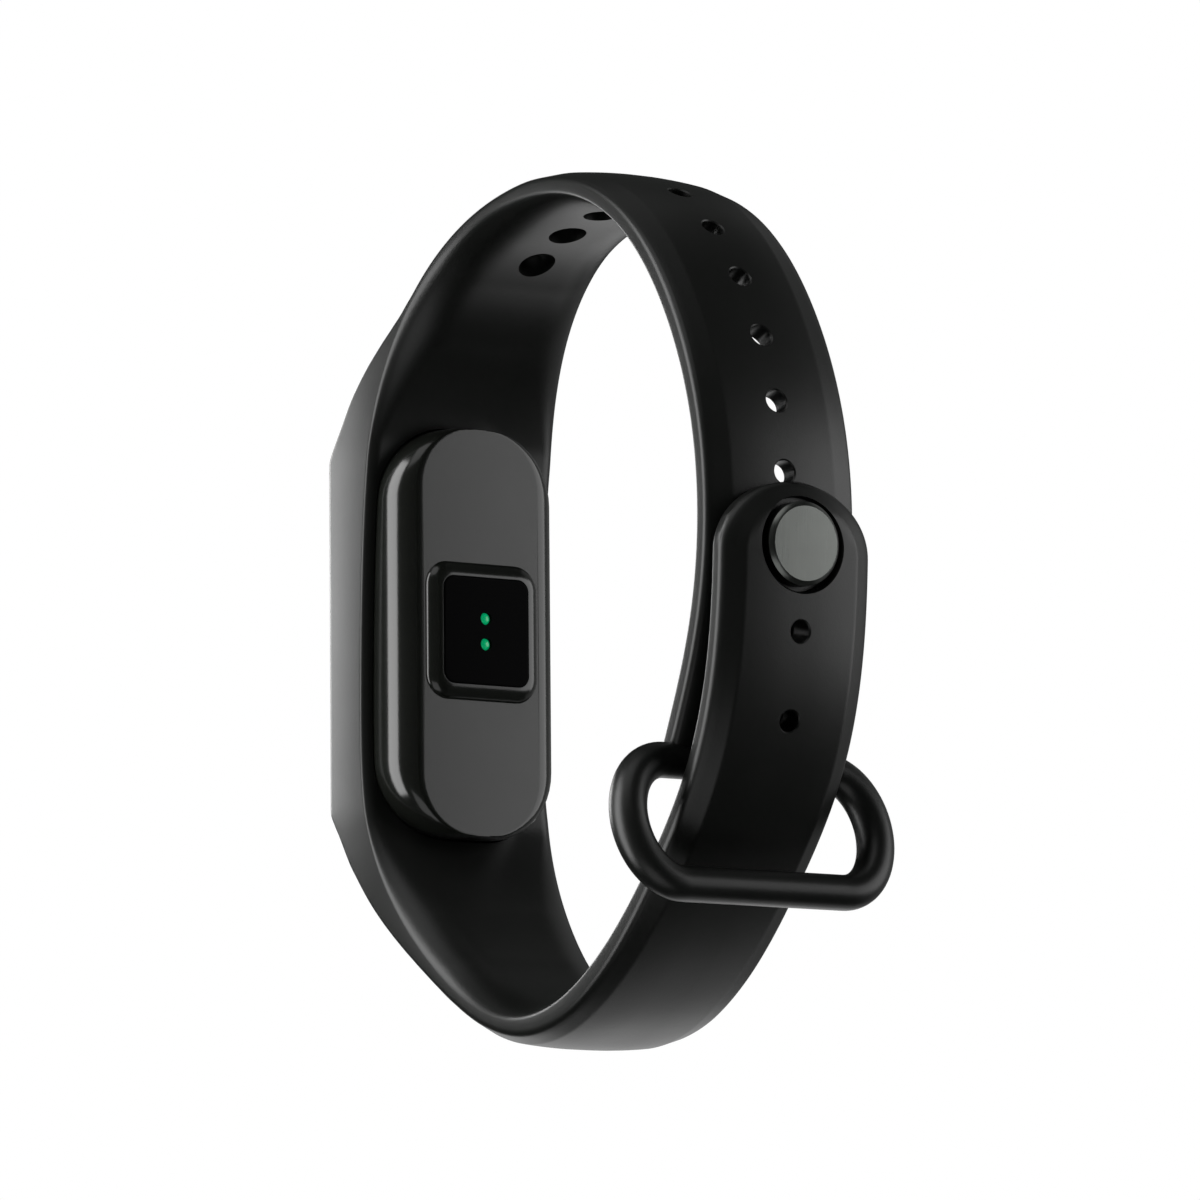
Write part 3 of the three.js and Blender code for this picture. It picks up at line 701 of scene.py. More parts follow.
def filter_glass(value):
    """Dark sensor window that lets little light back out."""
    finish = Finish("filter_glass", IOR=1.06)
    smear = finish.noise(0.002, 3, 0.6)
    finish.tint(smear, value, 0.6, 1)
    finish.set("Roughness", 0.08 + 0.06 * smear)
    return finish.material


def brushed_steel(value):
    """Turned and satin-brushed steel: fine parallel lines, with a slightly darker cloud."""
    finish = Finish("brushed_steel", Metallic=1.0)
    lines = finish.noise(0.00025, 4, 0.7, (1, 1, 0.02))
    cloud = finish.noise(0.002, 2)
    finish.tint(0.5 * lines + 0.5 * cloud, value, 0.85, 1.12)
    finish.set("Roughness", 0.24 + 0.1 * lines)
    finish.bump(lines, 0.000004, 0.5)
    return finish.material


def emitter(value):
    """A green dome that looks lit from inside."""
    finish = Finish("green_emitter", Roughness=0.2, Emission_Strength=0.55)
    depth = finish.noise(0.0006, 2)
    glow = finish.blend(depth, shade_of(value, 0.75), shade_of(value, 1.25))
    finish.set("Base Color", glow)
    finish.set("Emission Color", glow)
    return finish.material


def plain_part(name, value, roughness, metallic=0.0, grain=0.0002, relief=0.000006):
    """An inner part: a fine grain, uneven gloss and a little colour variation."""
    finish = Finish(name, Metallic=metallic)
    speckle = finish.noise(grain, 3, 0.6)
    cloud = finish.noise(grain * 20, 2)
    finish.tint(0.5 * speckle + 0.5 * cloud, value, 0.8, 1.2)
    finish.set("Roughness", roughness - 0.05 + 0.1 * cloud)
    finish.bump(speckle, relief, 0.5)
    return finish.material


def circuit_board(value):
    """Solder mask with copper tracks showing faintly through it."""
    finish = Finish("circuit_board")
    bricks = finish.add("ShaderNodeTexBrick", {}, {
        "Vector": finish.place(), "Scale": 600.0, "Color1": (1, 1, 1, 1), "Color2": (0, 0, 0, 1),
        "Mortar": (0.5, 0.5, 0.5, 1),
    })
    tracks = Value(finish, bricks.outputs["Fac"])
    speckle = finish.noise(0.0003, 2)
    finish.tint(0.7 * tracks + 0.3 * speckle, value, 1, 2.2)
    finish.set("Roughness", 0.4 + 0.2 * speckle)
    finish.bump(tracks, 0.00001, 0.4)
    return finish.material


INNER_FINISHES = {  # material slot: colour, roughness, metalness
    "gold": ((0.78, 0.5, 0.16), 0.25, 1.0),
    "chip": ((0.012, 0.012, 0.013), 0.5, 0.0),
    "foil": ((0.55, 0.56, 0.58), 0.35, 0.9),
    "film": ((0.4, 0.15, 0.02), 0.45, 0.0),
    "foam": ((0.01, 0.01, 0.01), 0.9, 0.0),
    "panel": ((0.006, 0.008, 0.01), 0.15, 0.0),
    "ceramic": ((0.7, 0.66, 0.58), 0.6, 0.0),
    "steel": ((0.5, 0.5, 0.5), 0.3, 1.0),
}


# ------------------------------------------------------------------ geometry node trees
def node_tree(name, sockets):
    """A geometry node group with these named inputs: (name, socket type, default). It comes with its start,
    its end and a method that adds a node. An input named i0 is the node's first, whatever it is called."""
    tree = bpy.data.node_groups.new(name, "GeometryNodeTree")
    tree.interface.new_socket("Geometry", in_out="INPUT", socket_type="NodeSocketGeometry")
    tree.interface.new_socket("Geometry", in_out="OUTPUT", socket_type="NodeSocketGeometry")
    for title, kind, default in sockets:
        socket = tree.interface.new_socket(title, in_out="INPUT", socket_type=kind)
        if default is not None:
            socket.default_value = default
    start, end = tree.nodes.new("NodeGroupInput"), tree.nodes.new("NodeGroupOutput")

    def add(kind, settings=None, **inputs):
        node = tree.nodes.new(kind)
        for key, value in (settings or {}).items():
            setattr(node, key, value)
        for key, value in inputs.items():
            numbered = key[0] == "i" and key[1:].isdigit()
            socket = node.inputs[int(key[1:]) if numbered else key]
            if isinstance(value, bpy.types.NodeSocket):
                tree.links.new(value, socket)
            else:
                socket.default_value = value
        return node

    return tree, start, end, add


def add_tree(piece, tree, **inputs):
    """Puts a node tree on a piece as a modifier with these inputs."""
    modifier = piece.modifiers.new(tree.name, "NODES")
    modifier.node_group = tree
    identifiers = {
        item.name: item.identifier for item in tree.interface.items_tree
        if item.item_type == "SOCKET" and item.in_out == "INPUT"
    }
    for title, value in inputs.items():
        modifier[identifiers[title]] = value


def hole_row_tree():
    """Cuts a row of holes: cutters stand on a line at an even pitch, and are taken out of the mesh."""
    tree, start, end, add = node_tree("hole_row", [
        ("Line", "NodeSocketObject", None),
        ("Cutter", "NodeSocketObject", None),
        ("First", "NodeSocketFloat", 0.01),
        ("Pitch", "NodeSocketFloat", 0.006),
        ("Count", "NodeSocketInt", 1),
        ("Finish", "NodeSocketMaterial", None),
    ])
    given = start.outputs
    line = add("GeometryNodeObjectInfo", i0=given["Line"])
    cutter = add("GeometryNodeObjectInfo", i0=given["Cutter"])
    points = add("GeometryNodePoints", i0=given["Count"])
    index = add("GeometryNodeInputIndex")
    steps = add("ShaderNodeMath", {"operation": "MULTIPLY"}, i0=index.outputs[0], i1=given["Pitch"])
    distance = add("ShaderNodeMath", {"operation": "ADD"}, i0=steps.outputs[0], i1=given["First"])
    sample = add("GeometryNodeSampleCurve", {"mode": "LENGTH"},
                 Curves=line.outputs["Geometry"], Length=distance.outputs[0])
    out = add("ShaderNodeVectorMath", {"operation": "CROSS_PRODUCT"},
              i0=(0, 1, 0), i1=sample.outputs["Tangent"])
    turn = add("FunctionNodeAlignRotationToVector", {"axis": "Z"}, Vector=out.outputs[0])
    placed = add("GeometryNodeSetPosition", Geometry=points.outputs[0], Position=sample.outputs["Position"])
    cutters = add("GeometryNodeInstanceOnPoints", Points=placed.outputs[0],
                  Instance=cutter.outputs["Geometry"], Rotation=turn.outputs[0])
    solid = add("GeometryNodeRealizeInstances", Geometry=cutters.outputs[0])
    boolean = add("GeometryNodeMeshBoolean", {"operation": "DIFFERENCE", "solver": "MANIFOLD"},
                  i0=given["Geometry"], i1=solid.outputs[0])
    real = add("GeometryNodeRealizeInstances", Geometry=boolean.outputs[0])
    painted = add("GeometryNodeSetMaterial", Geometry=real.outputs[0], Material=given["Finish"])
    tree.links.new(painted.outputs[0], end.inputs[0])
    return tree


def loop_tree():
    """A round bar along a closed curve, thicker where the curve's own radius is larger."""
    tree, start, end, add = node_tree("round_loop", [
        ("Radius", "NodeSocketFloat", 0.0015),
        ("Sides", "NodeSocketInt", 48),
        ("Finish", "NodeSocketMaterial", None),
    ])
    given = start.outputs
    ring = add("GeometryNodeCurvePrimitiveCircle", {"mode": "RADIUS"},
               Resolution=given["Sides"], Radius=given["Radius"])
    radius = add("GeometryNodeInputRadius")
    bar = add("GeometryNodeCurveToMesh", Curve=given["Geometry"], i1=ring.outputs[0], Scale=radius.outputs[0])
    smooth = add("GeometryNodeSetShadeSmooth", Geometry=bar.outputs[0])
    real = add("GeometryNodeRealizeInstances", Geometry=smooth.outputs[0])
    painted = add("GeometryNodeSetMaterial", Geometry=real.outputs[0], Material=given["Finish"])
    tree.links.new(painted.outputs[0], end.inputs[0])
    return tree


# ------------------------------------------------------------------ silicone band
STATION_STEP = 0.6


def stations(band, start, end):
    """Distances for sections: an even step, and closer ones where the front meets its slopes."""
    even = np.arange(start, end, STATION_STEP)
    creases = []
    for side in (-1, 1):
        reach = np.arange(12, 22, 0.01)
        distance = band.middle + side * reach
        if start < distance[0] < end:
            depth = band.body_depth(distance)
            creases.append(distance[np.argmax(depth - np.linspace(depth[0], depth[-1], len(depth)))])
    close = [crease + offset for crease in creases for offset in np.linspace(-0.5, 0.5, 11)]
    keep = [d for d in even if all(abs(d - c) > 0.55 for c in creases)]
    return np.unique([*keep, *close, end])


def sweep(band, distances):
    return [place(band.line, d, section(**band.sizes(d))) for d in distances]


def hole_profile(settings, thickness, seat):
    """A stepped cutter with a small lead-in at the outer face: radius and height above the inner edge."""
    radius, wide = settings.hole_diameter / 2, settings.seat_diameter / 2
    return [
        (0, -BEYOND), (wide, -BEYOND), (wide, seat - LEAD), (wide - LEAD, seat), (radius, seat),
        (radius, thickness - LEAD), (radius + LEAD, thickness), (radius + LEAD, thickness + BEYOND),
        (0, thickness + BEYOND),
    ]


def outer_line(band, offset, start, end):
    """The band's line at an offset as a curve object, with distances along the band and lengths along it."""
    distances = np.linspace(start, end, 600)
    point, _, out = band.line.at(distances)
    path = (point + out * offset) * MM
    lengths = np.r_[0, np.cumsum(np.linalg.norm(np.diff(path, axis=0), axis=1))]
    return line_object("hole_line", [(x, 0, z) for x, z in path]), distances, lengths


def build_main_band(settings, material):
    """Cradle and the half with holes, as one moulding, from inside the keeper's bar to the seam."""
    band = Band(settings)
    rings = sweep(band, stations(band, 0, band.seam))
    into_keeper = np.array(band.at(0)[1]) * KEEPER_ROOT * MM
    piece = make_object("main_band", *skin([rings[0] - into_keeper, *rings]))
    cut(piece, pocket_tool(), window_tool())
    hole_line, distances, lengths = outer_line(band, band.thickness, 0, band.seam)
    stud_hole = band.line.nearest(band.line.offset(band.stud, 0), 0, band.middle - 20)
    pitch = settings.hole_pitch
    first = np.interp(stud_hole, distances, lengths) - pitch  # one hole lies behind the stud's own
    top = band.thickness * MM
    profile = [(radius, height - top) for radius, height in hole_profile(settings, top, SEAT_DEPTH)]
    cutter = turned("hole_cutter", profile, (0, 0, 0), (0, 0, 1), sides=40)
    add_tree(piece, hole_row_tree(), Line=hole_line, Cutter=cutter, First=first, Pitch=pitch,
             Count=HOLES_TOWARDS_CRADLE + 2, Finish=material)
    apply_modifiers(piece)
    for helper in (hole_line, cutter):
        bpy.data.objects.remove(helper, do_unlink=True)
    return finish_piece(piece, "band", material, "silicone", "strap_cradle", "holed_strap")


def tip_sections(band, distances):
    """Sections of the loose end: half an ellipse in outline, with a bevel of even width round it."""
    start = band.line.length - TIP_ROUND
    half = band.half_strap
    turn = np.linspace(0, math.pi / 2, 200)
    outline = np.stack([half * np.cos(turn), TIP_ROUND * np.sin(turn)], axis=1)
    rings = []
    for distance in distances:
        past = (distance - start) / TIP_ROUND
        sizes = band.sizes(distance)
        sizes["half"] = half * math.sqrt(max(0.0004, 1 - past * past))
        sizes["swell"] = 0.1 * (1 - past) + 0.02

        def inset_at(sideways, past=past):
            offsets = outline - (abs(sideways), past * TIP_ROUND)
            return float(np.min(np.hypot(offsets[:, 0], offsets[:, 1])))

        rings.append(place(band.line, distance, section(**sizes, inset_at=inset_at)))
    return rings


def build_stud_strap(settings, clasp, material):
    """The half with the stud, from the cradle to its loose end."""
    band = Band(settings)
    round_from = band.line.length - TIP_ROUND
    end = round_from + TIP_ROUND * np.sin(np.linspace(0, math.pi / 2, 30)[1:])
    rings = sweep(band, stations(band, band.seam, round_from)) + tip_sections(band, end)
    piece = make_object("stud_strap", *skin(rings))
    top = band.peg_thickness * MM
    floor = top - RECESS_DEPTH
    centre, _, outwards = band.at(band.stud)
    recess, neck = clasp.recess / 2, 0.95 * MM
    tools = [turned("recess_cutter", [
        (0, -BEYOND), (neck, -BEYOND), (neck, floor), (recess - LEAD, floor), (recess, floor + LEAD),
        (recess, top - 2.4 * LEAD), (recess + 2 * LEAD, top), (recess + 2 * LEAD, top + BEYOND),
        (0, top + BEYOND),
    ], centre, outwards, sides=96)]
    radius = settings.hole_diameter / 2 * 0.93
    for i in (1, 2):
        centre, _, outwards = band.at(band.stud - i * VENT_PITCH)
        tools.append(turned("vent_cutter", [
            (0, -BEYOND), (radius + BEYOND, -BEYOND), (radius, 0), (radius, top - LEAD),
            (radius + LEAD + BEYOND, top + BEYOND), (0, top + BEYOND),
        ], centre, outwards, sides=40))
    cut(piece, *tools)
    finish_piece(piece, None, material, "silicone", "peg_strap", "peg_strap_tip")
    middle, direction, _ = band.at(band.hinge)
    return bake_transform(piece)


# ------------------------------------------------------------------ keeper loop
KEEPER_TUBE = 3.0 * MM
KEEPER_TILT = math.radians(41)
KEEPER_REACH = 10.9 * MM
KEEPER_STRAIGHT = 15.8 * MM
BULGE_STEPS = 40
STRAIGHT_STEPS = 16


def build_keeper(settings, material):
    """The loop: two straight bars across the band, joined by bulging ends that are a little thicker."""
    low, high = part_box("keeper_loop")
    pivot = Vector(JOINTS["keeper_flex"]["pos_m"])
    _, along, outward = Band(settings).at(0)
    across = -along * math.cos(KEEPER_TILT) + outward * math.sin(KEEPER_TILT)
    bulge = ((high - low).y - KEEPER_TUBE - KEEPER_STRAIGHT) / 2
    points, radii = [], []

    def add_point(depth, width, radius=1.0):
        points.append(pivot + across * depth + Vector((0, width, 0)))
        radii.append(radius)

    for side in (1, -1):
        start = side * KEEPER_STRAIGHT / 2
        for i in range(BULGE_STEPS + 1):
            angle = math.pi * i / BULGE_STEPS
            depth = KEEPER_REACH / 2 * (1 - side * math.cos(angle))
            width = start + side * bulge * math.sin(angle)
            add_point(depth, width, 1 + 0.06 * math.sin(angle))
        for i in range(1, STRAIGHT_STEPS):
            add_point(KEEPER_REACH if side == 1 else 0, mix(start, -start, i / STRAIGHT_STEPS))
    holder = line_object("keeper", points, radii, closed=True)
    add_tree(holder, loop_tree(), Radius=KEEPER_TUBE / 2, Sides=40, Finish=material)
    mesh = evaluated_mesh(holder)
    bpy.data.objects.remove(holder, do_unlink=True)
    piece = bpy.data.objects.new("keeper", mesh)
    bpy.context.scene.collection.objects.link(piece)
    return finish_piece(piece, "keeper", material, "silicone", "keeper_loop", sharp_angle=60)


# ------------------------------------------------------------------ tracker
LENS_END = (8.1 * MM, 14.0 * MM)  # half width and half length of the tracker at its cover glass
LENS_END_CORNER, BACK_CORNER = 3.0 * MM, 6.5 * MM
BACK = -9.4 * MM  # x of the raised back
WALL = 1 * MM
POCKET_GAP = 0.12 * MM


def capsule(x, inset=0.0, end_inset=None, at=None):
    """The tracker's outline across X, which narrows towards its face. at takes its size from another x."""
    end_inset = inset if end_inset is None else end_inset
    low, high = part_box("tracker_rear_shell")
    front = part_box("tracker_front_shell")[0].x
    part = min(max(((x if at is None else at) - front) / (low.x - front), 0), 1)
    half_width = mix(LENS_END[0], high.y, part) - inset
    half_length = mix(LENS_END[1], high.z, part) - end_inset
    corner = mix(LENS_END_CORNER, BACK_CORNER, part) - 0.5 * (inset + end_inset)
    return rounded_ring(x, half_width, half_length, max(corner, 0.3 * MM))


def pocket_tool():
    """Cuts the tracker's pocket."""
    gap = -POCKET_GAP
    rear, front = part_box("tracker_rear_shell")[0].x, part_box("tracker_front_shell")[0].x
    rings = [capsule(front - 0.25 * MM, gap), capsule(rear - 0.3 * MM, gap, at=rear), capsule(-7 * MM, gap)]
    return make_object("pocket_tool", *skin(rings))


def window_tool():
    """Cuts the window that the cover glass looks out of, with a bevel at the front."""
    _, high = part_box("display_lens")
    width, height = high.y + POCKET_GAP, high.z + POCKET_GAP
    lead = 0.35 * MM
    flare = 1 * MM
    corner = 2 * MM
    front = FRONT * MM
    rings = [
        rounded_ring(front - flare, width + flare + lead, height + flare + lead, 1.1 * corner + flare),
        rounded_ring(front + lead, width, height, corner),
        rounded_ring(front + 3 * MM, width, height, corner),
    ]
    return make_object("window_tool", *skin(rings))


def arc_levels(start, end, steps):
    """Steps of a quarter ellipse from one (x, inset) to another, whose inset grows late."""
    rows = []
    for i in range(steps + 1):
        angle = math.pi / 2 * i / steps
        rows.append((
            mix(start[0], end[0], math.sin(angle)),
            mix(start[1], end[1], 1 - math.cos(angle)),
        ))
    return rows


def build_rear_shell(settings, material):
    """The rear casing: its raised back, the island round the sensor window, and its hollow inside."""
    low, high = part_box("tracker_rear_shell")
    rounding, end_rounding = 2.4 * MM, 0.15 * MM
    rings = [capsule(low.x), capsule(-13.2 * MM)]
    for x, inset in arc_levels((BACK - 2.9 * MM, 0), (BACK, rounding), 18):
        rings.append(capsule(x, inset, inset * end_rounding / rounding))
    rings.append(capsule(BACK, rounding + 0.1 * MM, end_rounding + 0.1 * MM))
    window_low, window_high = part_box("sensor_window")
    bevel = settings.bevel
    lip, inner_lip, soft = 0.13 * MM, 0.05 * MM, 0.12 * MM
    roundness = 0.75
    height = high.x - BACK

    def island(rise, grow):
        corner = 1.05 * MM + 0.85 * grow
        return rounded_ring(BACK + rise, window_high.y + grow, window_high.z + grow, corner)

    rings += [island(0, bevel + soft * 2), island(0, bevel + soft)]
    for part in np.linspace(0, 1, 14):
        turn = part * math.pi / 2
        rise = mix(part, math.sin(turn), roundness)
        rings.append(island(height * rise, mix(bevel, lip, mix(part, 1 - math.cos(turn), roundness))))
    floor = window_low.x - 0.1 * MM
    opening = 3.4 * MM
    roof = BACK - 0.8 * MM
    rings += [island(height, inner_lip), island(floor - BACK, inner_lip)]
    rings += [rounded_ring(x, opening, opening, 1 * MM) for x in (floor, roof)]
    rings += [
        capsule(roof, WALL + rounding * 0.6),
        capsule(BACK - 2.4 * MM, WALL + 0.1 * MM),
        capsule(low.x, WALL),
    ]
    piece = make_object("rear_shell", *skin(rings, closed=True))
    tools = []
    for node in ("charging_pad_left", "charging_pad_right"):
        pad_low, pad_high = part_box(node)
        radius = (pad_high.x - pad_low.x) / 2 + 0.15 * MM
        tools.append(drill("pad_cutter", radius, BEYOND, (pad_low + pad_high) / 2, (0, 0, 1), 32))
    cut(piece, *tools)
    return finish_piece(piece, "tracker", material, "shell", "tracker_rear_shell", sharp_angle=32)


def build_window(material):
    """The sensor's black glass: a flat plate with a fine polished edge and two bores for the emitters."""
    low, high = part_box("sensor_window")
    edge = 0.07 * MM
    corner = 1 * MM
    levels = [(low.x, 0), *arc_levels((high.x - edge, 0), (high.x, edge), 4), (high.x, 3 * edge)]
    rings = [rounded_ring(x, high.y - inset, high.z - inset, corner - inset) for x, inset in levels]
    piece = make_object("window_glass", *skin(rings))
    tools = []
    for node in ("green_led_upper", "green_led_lower"):
        led_low, led_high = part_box(node)
        centre = Vector(((low.x + high.x) / 2, 0, (led_low.z + led_high.z) / 2))
        radius = (led_high.z - led_low.z) / 2 + 0.04 * MM
        tools.append(drill("led_cutter", radius, 1 * MM, centre, (1, 0, 0), 40))
    cut(piece, *tools)
    return finish_piece(piece, "tracker", material, "black_glass", "sensor_window", sharp_angle=25)


def build_emitters(material):
    """The two emitters, each a small dome."""
    pieces = []
    for node in ("green_led_upper", "green_led_lower"):
        low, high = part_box(node)
        radius = (high.z - low.z) / 2
        centre = Vector((low.x, 0, (low.z + high.z) / 2))
        height = high.x - low.x
        dome = 0.3 * MM
        profile = [(0, 0), (radius, 0), (radius, height - dome)]
        for angle in np.linspace(0, math.pi / 2, 8)[1:-1]:
            profile.append((radius * math.cos(angle), height - dome + dome * math.sin(angle)))
        profile.append((0, height))
        piece = turned(node + "_dome", profile, centre, (1, 0, 0), sides=32)
        pieces.append(finish_piece(piece, "tracker", material, "green_led", node, sharp_angle=50))
    return pieces


def build_lens(material):
    """The display's cover glass, with a softly rounded front edge."""
    low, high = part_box("display_lens")
    corner = 2 * MM
    rounding = 0.5 * MM
    levels = arc_levels((low.x + rounding, 0), (low.x, rounding), 8)
    rings = [rounded_ring(high.x, high.y, high.z, corner)]
    for x, inset in [*levels, (low.x, rounding + 0.2 * MM)]:
        rings.append(rounded_ring(x, high.y - inset, high.z - inset, corner - inset * 0.5))
    piece = make_object("cover_glass", *skin(rings))
    return finish_piece(piece, "tracker", material, "black_glass", "display_lens", sharp_angle=30)


def build_front_shell(material):
    """The front casing: a frame with a recess for the cover glass and an opening for the display."""
    low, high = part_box("tracker_front_shell")
    lens_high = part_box("display_lens")[1]
    edge = 0.3 * MM
    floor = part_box("lens_adhesive")[1].x + 0.1 * MM
    inner = floor + WALL / 2
    recess = (lens_high.y + 0.08 * MM, lens_high.z + 0.08 * MM, 2 * MM)
    opening = (5.75 * MM, 11.85 * MM, 1 * MM)
    rings = [
        capsule(low.x, edge),
        capsule(low.x + edge, 0),
        capsule(high.x, 0),
        capsule(high.x, WALL),
        capsule(inner, WALL),
        rounded_ring(inner, *opening),
        rounded_ring(floor, *opening),
        rounded_ring(floor, *recess),
        rounded_ring(low.x, *recess),
    ]
    piece = make_object("front_shell", *skin(rings, closed=True))
    return finish_piece(piece, "tracker", material, "shell", "tracker_front_shell", sharp_angle=32)


# ------------------------------------------------------------------ clasp stud
STUD_RADIUS = 3.5 * MM
STUD_RISE = 0.3 * MM  # how far the head stands out of the strap
STUD_HEIGHT = 1.5 * MM
NECK, BULB = 0.65 * MM, 0.8 * MM


def build_stud(settings, clasp, steel):
    """The stud: a disc with a polished bevel, and a pin with a bulb that snaps into a hole."""
    band = Band(settings)
    centre, _, outwards = band.at(band.stud)
    top = band.peg_thickness * MM + STUD_RISE
    under = top - STUD_HEIGHT
    small = 0.1 * MM
    width, height = clasp.bevel, clasp.bevel * 0.8
    profile = [
        (0, under), (STUD_RADIUS - small, under), (STUD_RADIUS, under + small), (STUD_RADIUS, top - height),
    ]
    for part in (0.15, 0.5, 0.85, 1.0):
        profile.append((STUD_RADIUS - width * part, top - height * (1 - part) ** 1.3))
    profile += [(STUD_RADIUS * 0.5, top + 0.015 * MM), (0, top + 0.02 * MM)]
    head = turned("stud_head", profile, centre, outwards, sides=128)
    finish_piece(head, "clasp_flap", steel, "steel", "clasp_stud_head", sharp_angle=18)
    strap_inside = -(GAP + band.thickness) * MM
    end = strap_inside - 0.8 * MM
    profile = [(0, end)]
    for angle in np.linspace(0, math.pi / 2, 7)[1:]:
        profile.append((BULB * math.sin(angle), end + 0.5 * MM * (1 - math.cos(angle))))
    profile += [(BULB, strap_inside), (NECK, strap_inside + 0.3 * MM)]
    profile += [(NECK, under - small), (0, under - small)]
    pin = turned("stud_pin", profile, centre, outwards, sides=40)
    return [head, finish_piece(pin, "clasp_flap", steel, "steel", "clasp_stud_pin", sharp_angle=40)]


# ------------------------------------------------------------------ operators
def settings_of(context):
    scene = context.scene
    return scene.tracker_band, scene.tracker_body, scene.tracker_clasp, scene.tracker_stage


def rubber_of(band):
    """The silicone that the band and the keeper share, made once."""
    return bpy.data.materials.get("band_silicone") or silicone(band.rubber_colour)


class TRACKER_OT_band(bpy.types.Operator):
    """Builds the cradle and the two halves of the band"""

    bl_idname = "tracker.band"
    bl_label = "Band"

    def execute(self, context):
        band, _, clasp, _ = settings_of(context)
        build_main_band(band, rubber_of(band))
        build_stud_strap(band, clasp, rubber_of(band))
        return {"FINISHED"}


class TRACKER_OT_keeper(bpy.types.Operator):
    """Builds the keeper loop"""

    bl_idname = "tracker.keeper"
    bl_label = "Keeper loop"

    def execute(self, context):
        band, _, _, _ = settings_of(context)
        build_keeper(band, rubber_of(band))
        return {"FINISHED"}


class TRACKER_OT_stud(bpy.types.Operator):
    """Builds the clasp stud's head and pin"""

    bl_idname = "tracker.stud"
    bl_label = "Clasp stud"

    def execute(self, context):
        band, _, clasp, _ = settings_of(context)
        build_stud(band, clasp, brushed_steel(clasp.steel_colour))
        return {"FINISHED"}


class TRACKER_OT_casing(bpy.types.Operator):
    """Builds the tracker's two shells and its cover glass"""

    bl_idname = "tracker.casing"
    bl_label = "Tracker casing"

    def execute(self, context):
        _, body, _, _ = settings_of(context)
        plastic = casing(body.shell_colour)
        build_rear_shell(body, plastic)
        build_front_shell(plastic)
        build_lens(black_glass(body.glass_colour))
        return {"FINISHED"}


class TRACKER_OT_sensor(bpy.types.Operator):
    """Builds the heart-rate sensor's window and emitters"""

    bl_idname = "tracker.sensor"
    bl_label = "Heart-rate sensor"

    def execute(self, context):
        _, body, _, _ = settings_of(context)
        build_window(filter_glass(body.glass_colour))
        build_emitters(emitter(body.led_colour))
        return {"FINISHED"}


class TRACKER_OT_inner_parts(bpy.types.Operator):
    """Gives the parts inside the tracker their finishes"""

    bl_idname = "tracker.inner_parts"
    bl_label = "Inner parts"

    def execute(self, context):
        slots = {part["node"]: part["material_slot"] for part in frame["record"]["subparts"]}
        finishes = {slot: plain_part("inner_" + slot, *values) for slot, values in INNER_FINISHES.items()}
        finishes["laminate"] = circuit_board((0.01, 0.07, 0.025))
        for name, piece in frame["nodes"].items():
            if not piece.hide_render:
                paint(piece, finishes[slots[name]])
        return {"FINISHED"}


class TRACKER_OT_stage(bpy.types.Operator):
    """Sets the floor, the white behind it, the lights and the camera"""

    bl_idname = "tracker.stage"
    bl_label = "Stage"

    def execute(self, context):
        _, _, _, stage = settings_of(context)
        build_floor(stage)
        build_world()
        build_lights()
        build_camera()
        return {"FINISHED"}


class TRACKER_PT_panel(bpy.types.Panel):
    """Lists the pieces of the band and their settings"""

    bl_idname = "TRACKER_PT_panel"
    bl_label = "Tracker band"
    bl_space_type = "VIEW_3D"
    bl_region_type = "UI"
    bl_category = "Tracker band"

    def draw(self, context):
        for group in settings_of(context):
            box = self.layout.box()
            for key in group.__annotations__:
                box.prop(group, key)
        for operator in OPERATORS:
            self.layout.operator(operator.bl_idname)


# ------------------------------------------------------------------ stage
def build_floor(stage):
    bpy.ops.mesh.primitive_plane_add(size=3, location=(0, 0, -stage.floor_depth))
    floor = bpy.context.object
    floor.name = "floor"
    floor.data.transform(floor.matrix_world)
    floor.matrix_world = Matrix.Identity(4)
    paper = Finish("floor_paper", Roughness=0.9)
    fibres = paper.noise(0.01, 3)
    paper.set("Base Color", paper.blend(fibres, shade_of(stage.backdrop, 0.98), stage.backdrop))
    paint(floor, paper.material)
    floor.visible_glossy = False


def build_world():
    """White behind the object, and a dim grey room for its reflections."""
    world = bpy.data.worlds.new("studio")
    bpy.context.scene.world = world
    world.use_nodes = True
    tree = world.node_tree
    tree.nodes.clear()
    output = tree.nodes.new("ShaderNodeOutputWorld")
    seen, room = tree.nodes.new("ShaderNodeBackground"), tree.nodes.new("ShaderNodeBackground")
    seen.inputs["Color"].default_value = (1, 1, 1, 1)
    seen.inputs["Strength"].default_value = 1.0
    room.inputs["Color"].default_value = (0.9, 0.95, 0.92, 1)
    room.inputs["Strength"].default_value = 0.05
    path, choose = tree.nodes.new("ShaderNodeLightPath"), tree.nodes.new("ShaderNodeMixShader")
    tree.links.new(path.outputs["Is Camera Ray"], choose.inputs[0])
    tree.links.new(room.outputs[0], choose.inputs[1])
    tree.links.new(seen.outputs[0], choose.inputs[2])
    tree.links.new(choose.outputs[0], output.inputs[0])


